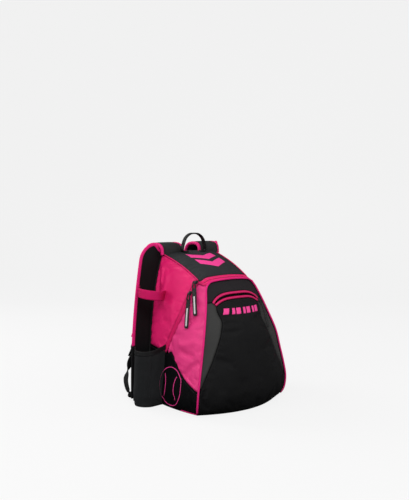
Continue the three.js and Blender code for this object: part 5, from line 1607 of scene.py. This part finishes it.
class BACKPACK_OT_bat_sleeves(bpy.types.Operator):
    """Net sleeves with their hems and floors, and the elastic straps"""

    bl_idname = "backpack.bat_sleeves"
    bl_label = "Bat sleeves"

    def execute(self, context):
        s = sizes_mm()
        rows, columns = SLEEVE_ROWS, SLEEVE_COLUMNS
        grid = standing_band(SLEEVE_LANDING, lambda k: SLEEVE_FOOT + 0 * k, sleeve_top, rows, columns, sleeve_reach)
        inward = band_inwards(grid)
        if np.sum(inward * (INSIDE_SLEEVE - grid)) < 0:
            inward = -inward
        pleat = PLEAT_DEPTH * np.sin(np.linspace(0, 2 * np.pi * PLEATS, columns + 1))[None, :] \
            * smooth(1 - np.linspace(0, 1, rows + 1) / 0.22)[:, None]
        soft = value_noise(grid, 34.0, 7) * 1.6 * smooth(np.linspace(0, 1, rows + 1) * 4)[:, None] \
            * smooth((1 - np.linspace(0, 1, rows + 1)) * 4)[:, None]
        grid = grid + inward * (0.8 + pleat + soft)[..., None]
        grid[..., 1] = np.minimum(grid[..., 1], BACK_Y - 1.0)
        width, height = run_along(grid, 1)[rows // 2, -1], run_along(grid, 0)[-1, columns // 2]
        cell = s["net_cell"]
        across_count = int(width / cell)
        up_count = int(height / (cell * 0.82))
        for side, end in ((1, "right"), (-1, "left")):
            points, edges = [], []
            index = {}
            for i in range(up_count + 1):
                for j in range(across_count + 1):
                    shift = 0.5 if i % 2 else 0.0
                    at = (i / up_count * rows, min(columns, (j + shift) / (across_count + 0.5) * columns))
                    low = (int(min(at[0], rows - 1)), int(min(at[1], columns - 1)))
                    f = (at[0] - low[0], at[1] - low[1])
                    p = lerp(lerp(grid[low[0], low[1]], grid[low[0] + 1, low[1]], f[0]),
                             lerp(grid[low[0], low[1] + 1], grid[low[0] + 1, low[1] + 1], f[0]), f[1])
                    index[i, j] = len(points)
                    points.append(p)
            for i in range(up_count):
                for j in range(across_count + 1):
                    edges.append((index[i, j], index[i + 1, j]))
                    other = j + 1 if i % 2 else j - 1
                    if 0 <= other <= across_count:
                        edges.append((index[i, j], index[i + 1, other]))
            points = np.array(points)
            points = on_side(side, points)
            obj = run_tree_on(f"bat_sleeve_{end}", net_tree(), points, edges,
                              {"Thread": s["net_thread"] * MM}, finish_of("net_thread"))
            finish_piece(obj, [f"bat_sleeve_{end}"])
            hem_low = grid[-HEM_ROWS:]
            outer = hem_low - inward[-HEM_ROWS:] * HEM_HALF_THICKNESS
            inner = hem_low + inward[-HEM_ROWS:] * HEM_HALF_THICKNESS
            outer, inner = on_side(side, outer), on_side(side, inner)
            outer[..., 1] = np.minimum(outer[..., 1], BACK_Y - 0.4)
            inner[..., 1] = np.minimum(inner[..., 1], BACK_Y - 0.4)
            finish_piece(wall(f"bat_sleeve_hem_{end}", outer, inner, finish_of("webbing")), [])
            SKINS[f"hem_{end}"] = (outer, grid_normals(outer, outer - inner))
            note_stitches("black", border_line(f"hem_{end}", "a0", 2.0))

            rim = sleeve_path(SLEEVE_FOOT, SLEEVE_LANDING, 0.9, 60)
            along = np.linspace(SLEEVE_LANDING, 0.02, 20)
            inner_edge = gusset(np.full(20, 0.02), along)
            inner_edge = inner_edge - normals_of(gusset, np.full(20, 0.02), along) * 1.6
            outline = np.vstack([rim, inner_edge])[:, :2]
            outline[:, 1] = np.minimum(outline[:, 1], BACK_Y - SEAM_GAP)
            rear = np.linspace(outline[-1, 0], outline[0, 0], 14)
            outline = np.vstack([outline, np.column_stack([rear, np.full(14, BACK_Y + 1.2)])])
            if side < 0:
                outline = outline * [-1, 1]
            centre = outline.mean(0)
            loops = []
            for share, inset, z in FLOOR_RINGS:
                ring = centre + (outline - centre) * share - unit(outline - centre) * inset
                loops.append(np.column_stack([ring, np.full(len(outline), z)]))
            obj = sweep(f"sleeve_floor_{end}", loops, finish_of("black_cloth"))
            finish_piece(obj, [f"sleeve_floor_{end}"])

            half = STRAP_WIDTH / 2
            band = standing_band(STRAP_LANDING, lambda k: STRAP_HEIGHT - half + STRAP_FALL * (0.5 - k),
                                 lambda k: STRAP_HEIGHT + half + STRAP_FALL * (0.5 - k), 16, 100, lambda level: 1.0,
                                 -2.0)
            inwards = band_inwards(band)
            if np.sum(inwards * (INSIDE_STRAP - band)) < 0:
                inwards = -inwards
            level = np.linspace(0, 1, 17)
            round_edge = 0.8 * (1 - smooth(np.minimum(level, 1 - level) * 9))[:, None]
            ripple = 0.25 * np.sin(level * 2 * np.pi * 5)[:, None] + 0.35 * value_noise(band, 22.0, 5)
            outer = band + inwards * (round_edge + ripple)[..., None]
            inner = band + inwards * (1.8 + ripple)[..., None]
            for layer in (outer, inner):
                layer[..., 1] = np.minimum(layer[..., 1], BACK_Y - SEAM_GAP)
            outer, inner = on_side(side, outer), on_side(side, inner)
            obj = wall(f"bat_strap_{end}", outer, inner, finish_of("pink_elastic"))
            finish_piece(obj, [f"bat_strap_{end}"])
            SKINS[f"strap_{end}"] = (outer, grid_normals(outer, outer - inner))
            for inset in (4.0, 9.0):
                note_stitches("pink", border_line(f"strap_{end}", "b1", inset))
        return {"FINISHED"}


ARCH_SCALE = SHOULDER_RISE / (SHOULDER_LINE[:, 2].max() - 1)


def strap_points(table):
    out, back, height = table.T
    z = np.where(height > 1, BODY_HEIGHT + (height - 1) * ARCH_SCALE, BODY_HEIGHT * height)
    y = BACK_Y - SHOULDER_THICKNESS / 2 - 1 + SHOULDER_LOOP * back
    return stack(SHOULDER_X + (WING_FOOT_HALF - SHOULDER_X) * out, y, z)


def strap_across(k):
    k = smooth((np.asarray(k, float) - 0.35) / 0.6)[..., None]
    return unit(lerp(np.array([1.0, 0, 0]), np.array([0.8, -0.15, 0.55]), k))


BINDING_DEPTH = 7.6
# outwards, share of the depth
BINDING_SECTION = (
    (-3.6, -0.62), (0, -0.64), (2.2, -0.5), (3.2, -0.2), (3.2, 0.2), (2.2, 0.5), (0, 0.64), (-3.6, 0.62))


class BACKPACK_OT_shoulder_straps(bpy.types.Operator):
    """Padded shoulder straps with bindings, ladder locks and lower webbing"""

    bl_idname = "backpack.shoulder_straps"
    bl_label = "Shoulder straps"

    def execute(self, context):
        steps = 170
        line = catmull(strap_points(SHOULDER_LINE), steps, spaced=True)
        k = np.linspace(0, 1, steps + 1)
        tangent = unit(np.gradient(line, axis=0))
        normal = unit(np.cross(strap_across(k), tangent))
        across = unit(np.cross(tangent, normal))
        width = lerp(SHOULDER_WIDTH, SHOULDER_END_WIDTH, smooth((k - 0.3) / 0.7))
        sides = 44
        turn = np.linspace(0, 2 * np.pi, sides, endpoint=False)
        w = np.sign(np.cos(turn)) * np.abs(np.cos(turn)) ** 0.45
        t = np.sign(np.sin(turn)) * np.abs(np.sin(turn)) ** 0.75
        half_w = width[:, None] / 2 * w[None, :]
        from_edge = width[:, None] / 2 - np.abs(half_w)
        plump = 1 - 0.42 * np.exp(-((from_edge - 6.5) / 2.2) ** 2)
        channels = context.scene.backpack_sizes.strap_channels
        for i in range(channels):
            plump = plump - 0.3 * np.exp(-((k[:, None] - lerp(0.34, 0.94, i / max(1, channels - 1))) / 0.006) ** 2) \
                * smooth(from_edge / 8)
        half_t = SHOULDER_THICKNESS / 2 * t[None, :] * np.where(np.abs(t)[None, :] > 0.2, plump, 1)
        loops = line[:, None] + across[:, None] * half_w[..., None] + normal[:, None] * half_t[..., None]
        loops = loops + normal[:, None] * (value_noise(loops, 30.0, 3) * 0.5 * (np.abs(t) > 0.3)[None, :])[..., None]
        end = line[-1]
        down = unit(line[-1] - line[-2])
        last_normal = unit(np.cross(strap_across(1.0), down))
        last_across = unit(np.cross(down, last_normal))
        origin = end + down * (SEAM_GAP + 0.5)
        bar_at, face = LOCK_LENGTH - LOCK_BAR / 2, LOCK_THICKNESS / 2 + 1 + 2.5 * SEAM_GAP
        clear = LOCK_BAR / 2 + 1 + 3 * SEAM_GAP
        out_axis = np.cross(last_across, down)
        tail = [origin + down * v + out_axis * n for v, n in (
            (bar_at + 26, face + 3), (bar_at + 4, face), (bar_at, face), (bar_at - clear, face - 1),
            (bar_at - clear - 0.6, 0), (bar_at - clear, 1 - face), (bar_at, -face), (bar_at + 5, -face - 0.5))]
        route = np.vstack([tail, strap_points(WEBBING_LINE)])
        share = len(tail) / len(route)
        fine = catmull(route, 1400)
        stops = np.linspace(0, 1, 241)
        at = np.where(stops < 0.4, stops / 0.4 * share, lerp(share, 1, (stops - 0.4) / 0.6)) * 1400
        webbing = fine[np.round(at).astype(int)]
        web_across = lerp(
            lerp(last_across, np.array([0.1, -1, 0.1]), smooth((stops - 0.42) / 0.22)[:, None]),
            np.array([0, 0.1, -1.0]), smooth((stops - 0.78) / 0.16)[:, None])
        for side, end_name in ((1, "right"), (-1, "left")):
            # The strap's stitched groove, which the cloth shader darkens as painted shade.
            seam = np.exp(-((from_edge - 6.5) / 3) ** 2) * 0.5
            obj = sweep(f"shoulder_strap_{end_name}", on_side(side, loops), finish_of("air_mesh"), seam=seam)
            finish_piece(obj, [f"shoulder_strap_{end_name}"])
            for sign, which in ((-1, "inner"), (1, "outer")):
                edge = line + across * (sign * (width / 2 + 1.6))[:, None]
                rim = np.stack(
                    [edge + across * sign * r + normal * d * BINDING_DEPTH for r, d in BINDING_SECTION], axis=1)
                obj = sweep(f"strap_binding_{which}_{end_name}", on_side(side, rim), finish_of("pink_tape"))
                finish_piece(obj, [f"strap_binding_{which}_{end_name}"])
                for lift in (-1, 1):
                    stitched = line + across * (sign * (width / 2 - 1.0))[:, None] + normal * lift * 5.0
                    note_stitches("pink", on_side(side, stitched)[2:-2])
            obj = belt(f"lower_webbing_{end_name}", on_side(side, webbing), on_side(side, web_across),
                       WEBBING_WIDTH, 2.0, finish_of("webbing"))
            finish_piece(obj, [f"lower_webbing_{end_name}"])
            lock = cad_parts[f"ladder_lock_{end_name}"]
            lock.data.materials.clear()
            lock.data.materials.append(finish_of("black_plastic"))
            bevel = lock.modifiers.new("edges", "BEVEL")
            bevel.width = 0.0006
            bevel.segments = 2
        return {"FINISHED"}


def on_top(x, y):
    rear = rear_edge(np.array(2.0))[1]
    along = (rear - y) / (rear - front_edge(np.array(2.0))[1])
    corner = gusset(np.array(1.0), np.array(along))[0]
    return gusset(np.array(2 - x / corner), np.array(along))[2]


class BACKPACK_OT_carrying_loop(bpy.types.Operator):
    """Carrying loop at the top"""

    bl_idname = "backpack.carrying_loop"
    bl_label = "Carrying loop"

    def execute(self, context):
        y = BACK_Y - HANDLE_SETBACK
        foot = on_top(HANDLE_HALF_SPAN * HANDLE_LINE[0][0], y + HANDLE_WIDTH / 2) + 2.0 + SEAM_GAP
        top = foot + HANDLE_RISE
        half = [(HANDLE_HALF_SPAN * out, y, foot + HANDLE_RISE * up) for out, up in HANDLE_LINE]
        other = [(-x, yy, z) for x, yy, z in reversed(half)]
        line = catmull(half + [(0, y, top)] + other, 160, spaced=True)
        across = np.tile([0.0, 1.0, 0.0], (len(line), 1))
        obj = belt("carrying_loop", line, across, HANDLE_WIDTH, 4.0, finish_of("webbing"), rounding=0.45, corners=5)
        finish_piece(obj, ["carrying_loop"])
        return {"FINISHED"}


class BACKPACK_OT_pulls(bpy.types.Operator):
    """Zip sliders and their pulls"""

    bl_idname = "backpack.pulls"
    bl_label = "Zip pulls"

    def execute(self, context):
        for end in ("upper", "lower"):
            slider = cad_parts[f"zip_slider_{end}"]
            slider.data.materials.clear()
            slider.data.materials.append(finish_of("dark_metal"))
            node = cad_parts[f"zip_pull_{end}"]
            spots = np.array([node.matrix_world @ v.co for v in node.data.vertices]) / MM
            centre = spots.mean(0)
            down, across, out = np.linalg.svd(spots - centre, full_matrices=False)[2]
            down = -down if down[2] > 0 else down
            out = -out if np.dot(out, centre - INSIDE) < 0 else out
            along = (spots - centre) @ down
            head, length = centre + down * along.min(), float(np.ptp(along))
            tab = np.linspace(0.2 * length, length, 60)
            from_end = np.minimum(tab - tab[0], tab[-1] - tab)
            width = 13.0 - 8.0 * (1 - np.sqrt(1 - (1 - clamp01(from_end / 5.0)) ** 2))
            bow = 1.2 * np.sin(np.pi * (tab - tab[0]) / (length - tab[0]))
            line = head + down * tab[:, None] + out * bow[:, None]
            obj = belt(f"zip_pull_{end}", line, np.tile(across, (60, 1)), width, 3.2, finish_of("pull_tape"),
                       rounding=0.48, corners=5)
            finish_piece(obj, [f"zip_pull_{end}"])
            rim = [head + down * d + across * w + out * o for d, w, o in (
                (0.3 * length, -4.2, 0.6), (0.2 * length, -4.4, 1.2), (0.09 * length, -3.6, 1.4), (1.0, -1.6, 1.0),
                (1.0, 1.6, 1.0), (0.09 * length, 3.6, 1.4), (0.2 * length, 4.4, 1.2), (0.3 * length, 4.2, 0.6))]
            obj = tube(f"zip_loop_{end}", catmull(rim, 90, spaced=True), 3.8, finish_of("pull_tape"), sides=12)
            finish_piece(obj, [])
            inner = slice(18, 56)
            strip = line[inner] + out * 1.75
            obj = belt(f"zip_inlay_{end}", strip, np.tile(across, (len(strip), 1)), 4.6, 0.7,
                       finish_of("inlay_grey"), rounding=0.4, corners=4)
            finish_piece(obj, [])
            for sign in (-1, 1):
                note_stitches("black", line[4:-4] + across * sign * 4.9 + out * 1.6)
        line_s, line_r = pocket_zip(np.array(0.98), 0.0)
        k = np.linspace(0, 1, 60)
        i = k * 7
        rise = line_r - 78.0 / FRONT_HEIGHT * k
        across_share = lerp(line_s, line_s * 0.78, k)
        lift = 3.5 + POCKET_PUFF * smooth(i / 2)
        line = front(across_share, rise) + normals_of(front, across_share, rise) * lift[:, None]
        across = np.tile(unit(np.array([1.0, -0.4, 0.0])), (len(line), 1))
        obj = belt("pocket_pull", line, across, 7.0, 2.4, finish_of("pull_tape"))
        finish_piece(obj, ["pocket_pull"])
        return {"FINISHED"}


class BACKPACK_OT_prints(bpy.types.Operator):
    """Plain printed shapes on the top, the front pocket and the lower sides"""

    bl_idname = "backpack.prints"
    bl_label = "Prints"

    def execute(self, context):
        rise = 0.42 * CHEVRON_REACH
        for row, y in enumerate((54.0, 12.0)):
            line = [(-CHEVRON_REACH, y + rise), (0.0, y - 4.0), (CHEVRON_REACH, y + rise)]
            ribbon_on(f"top_chevron_{row}", "top_panel", line, CHEVRON_THICKNESS, [0, 1], "print_pink",
                      start=(0.5, 0.4), shear=(0, 1))
        for i, (x, width) in enumerate(((-64, 15), (-43, 9), (-27, 15), (-6, 9), (10, 15), (31, 9), (47, 15))):
            line = [(x + 2.0, 262.0), (x + 8.0, 278.0)]
            ribbon_on(f"pocket_bar_{i}", "front_pocket", line, width, [0, 2], "print_pink",
                      start=(0.5, 0.9), shear=(-1, 0))
        for end in ("right", "left"):
            turn = np.linspace(0, 2 * np.pi, 72, endpoint=False)
            ring = np.stack([RING_Y + 50 * np.cos(turn), RING_Z + RING_HALF_HEIGHT * np.sin(turn)], -1)
            ribbon_on(f"side_ring_{end}", f"lower_side_{end}", ring, 1.9, [1, 2], "print_pink",
                      closed=True)
            for arc, (centre, low, high) in enumerate(((-50, -0.65, 0.65), (68, math.pi - 0.65, math.pi + 0.65))):
                turn = np.linspace(low, high, 30)
                curve = np.stack([centre + 40 * np.cos(turn), RING_Z + RING_HALF_HEIGHT * np.sin(turn)], -1)
                ribbon_on(f"side_arc_{arc}_{end}", f"lower_side_{end}", curve, 1.8, [1, 2], "print_pink")
        return {"FINISHED"}


class BACKPACK_OT_stitching(bpy.types.Operator):
    """Stitches along the seams that the other pieces noted"""

    bl_idname = "backpack.stitching"
    bl_label = "Stitching"

    def execute(self, context):
        s = sizes_mm()
        for thread, lines in STITCH_LINES.items():
            obj = run_tree(
                f"stitches_{thread}", stitch_tree(), lines,
                {"Pitch": s["stitch_pitch"] * MM, "Length": s["stitch_pitch"] * 0.72 * MM, "Thread": 0.42 * MM},
                finish_of(f"{thread}_thread"))
            finish_piece(obj, [])
        return {"FINISHED"}


class BACKPACK_OT_stage(bpy.types.Operator):
    """Pale floor, soft studio light and the camera"""

    bl_idname = "backpack.stage"
    bl_label = "Stage"

    def execute(self, context):
        scene = context.scene
        mesh = bpy.data.meshes.new("floor")
        rows = []
        for y, z in [(-4, 0), (-2, 0), (0, 0), (2.2, 0), (2.9, 0.09), (3.4, 0.4), (3.6, 0.9), (3.65, 2), (3.65, 6)]:
            rows.append([(x, y, z) for x in np.linspace(-6, 6, 5)])
        turn = math.radians(-40.8)
        points = [
            (x * math.cos(turn) - y * math.sin(turn), x * math.sin(turn) + y * math.cos(turn), z)
            for row in rows for x, y, z in row]
        faces = [
            (i * 5 + j, i * 5 + j + 1, i * 5 + j + 6, i * 5 + j + 5) for i in range(len(rows) - 1) for j in range(4)]
        mesh.from_pydata(points, [], faces)
        floor = bpy.data.objects.new("floor", mesh)
        scene.collection.objects.link(floor)
        mesh.polygons.foreach_set("use_smooth", np.full(len(mesh.polygons), True))
        material = bpy.data.materials.new("pale_floor")
        material.use_nodes = True
        shader = material.node_tree.nodes["Principled BSDF"]
        shader.inputs["Base Color"].default_value = (0.08, 0.08, 0.08, 1)
        shader.inputs["Emission Strength"].default_value = 0.83
        camera_sees = material.node_tree.nodes.new("ShaderNodeLightPath").outputs["Is Camera Ray"]
        material.node_tree.links.new(camera_sees, shader.inputs["Emission Color"])
        shader.inputs["Roughness"].default_value = 0.9
        shader.inputs["Specular IOR Level"].default_value = 0.1
        mesh.materials.append(material)
        world = bpy.data.worlds.new("studio")
        world.use_nodes = True
        background = world.node_tree.nodes["Background"]
        background.inputs[0].default_value = (1, 1, 1, 1)
        seen = world.node_tree.nodes.new("ShaderNodeLightPath").outputs["Is Camera Ray"]
        backdrop = maths(world.node_tree, "MULTIPLY_ADD", seen, 0.3, third=0.62)
        world.node_tree.links.new(backdrop, background.inputs[1])
        scene.world = world
        scene.view_settings.view_transform = "Standard"
        for name, place, aim, size, power in (
            ("key", (-1.5, -1.9, 1.9), (0, 0, 0.2), 1.4, 49.0),
            ("fill", (1.9, -1.5, 1.1), (0, 0, 0.2), 1.6, 12.0),
            ("rim", (-0.6, 1.8, 1.8), (0, 0, 0.3), 1.2, 30.0),
            ("side", (-2.3, 0.2, 0.9), (0, 0, 0.25), 1.2, 14.0),
        ):
            light = bpy.data.lights.new(name, "AREA")
            light.shape = "DISK"
            light.size = size
            light.energy = power
            holder = bpy.data.objects.new(name, light)
            scene.collection.objects.link(holder)
            holder.location = place
            towards = np.array(aim, float) - np.array(place, float)
            holder.rotation_mode = "QUATERNION"
            holder.rotation_quaternion = Vector(towards).to_track_quat("-Z", "Y")
        data = bpy.data.cameras.new("camera")
        data.lens = 47.0
        data.sensor_width = 36.0
        data.shift_y = -0.07
        data.clip_start, data.clip_end = 0.05, 50
        camera = bpy.data.objects.new("camera", data)
        camera.location = (-1.274, -1.419, 0.535)
        camera.rotation_euler = (math.radians(90), 0, math.radians(-40.8))
        scene.collection.objects.link(camera)
        scene.camera = camera
        return {"FINISHED"}


class BACKPACK_PT_panel(bpy.types.Panel):
    """Lists the pieces of the backpack"""

    bl_label = "Bat backpack"
    bl_idname = "BACKPACK_PT_panel"
    bl_space_type = "VIEW_3D"
    bl_region_type = "UI"
    bl_category = "Backpack"

    def draw(self, context):
        column = self.layout.column()
        for operator in OPERATORS:
            column.operator(operator.bl_idname)
        for group in (context.scene.backpack_sizes, context.scene.backpack_colours):
            box = self.layout.box()
            for name in group.__annotations__:
                box.prop(group, name)


OPERATORS = [
    BACKPACK_OT_stage,
    BACKPACK_OT_stuffing,
    BACKPACK_OT_body_sides,
    BACKPACK_OT_front,
    BACKPACK_OT_main_zip,
    BACKPACK_OT_base,
    BACKPACK_OT_piping,
    BACKPACK_OT_back,
    BACKPACK_OT_bat_sleeves,
    BACKPACK_OT_shoulder_straps,
    BACKPACK_OT_carrying_loop,
    BACKPACK_OT_pulls,
    BACKPACK_OT_prints,
    BACKPACK_OT_stitching,
]
CLASSES = [BackpackSizes, BackpackColours, *OPERATORS, BACKPACK_PT_panel]


def register():
    for item in CLASSES:
        bpy.utils.register_class(item)
    bpy.types.Scene.backpack_sizes = PointerProperty(type=BackpackSizes)
    bpy.types.Scene.backpack_colours = PointerProperty(type=BackpackColours)


def unregister():
    del bpy.types.Scene.backpack_colours
    del bpy.types.Scene.backpack_sizes
    for item in reversed(CLASSES):
        bpy.utils.unregister_class(item)


def main():
    register()
    for operator in OPERATORS:
        group, name = operator.bl_idname.split(".")
        getattr(getattr(bpy.ops, group), name)()


if __name__ == "__main__":
    main()
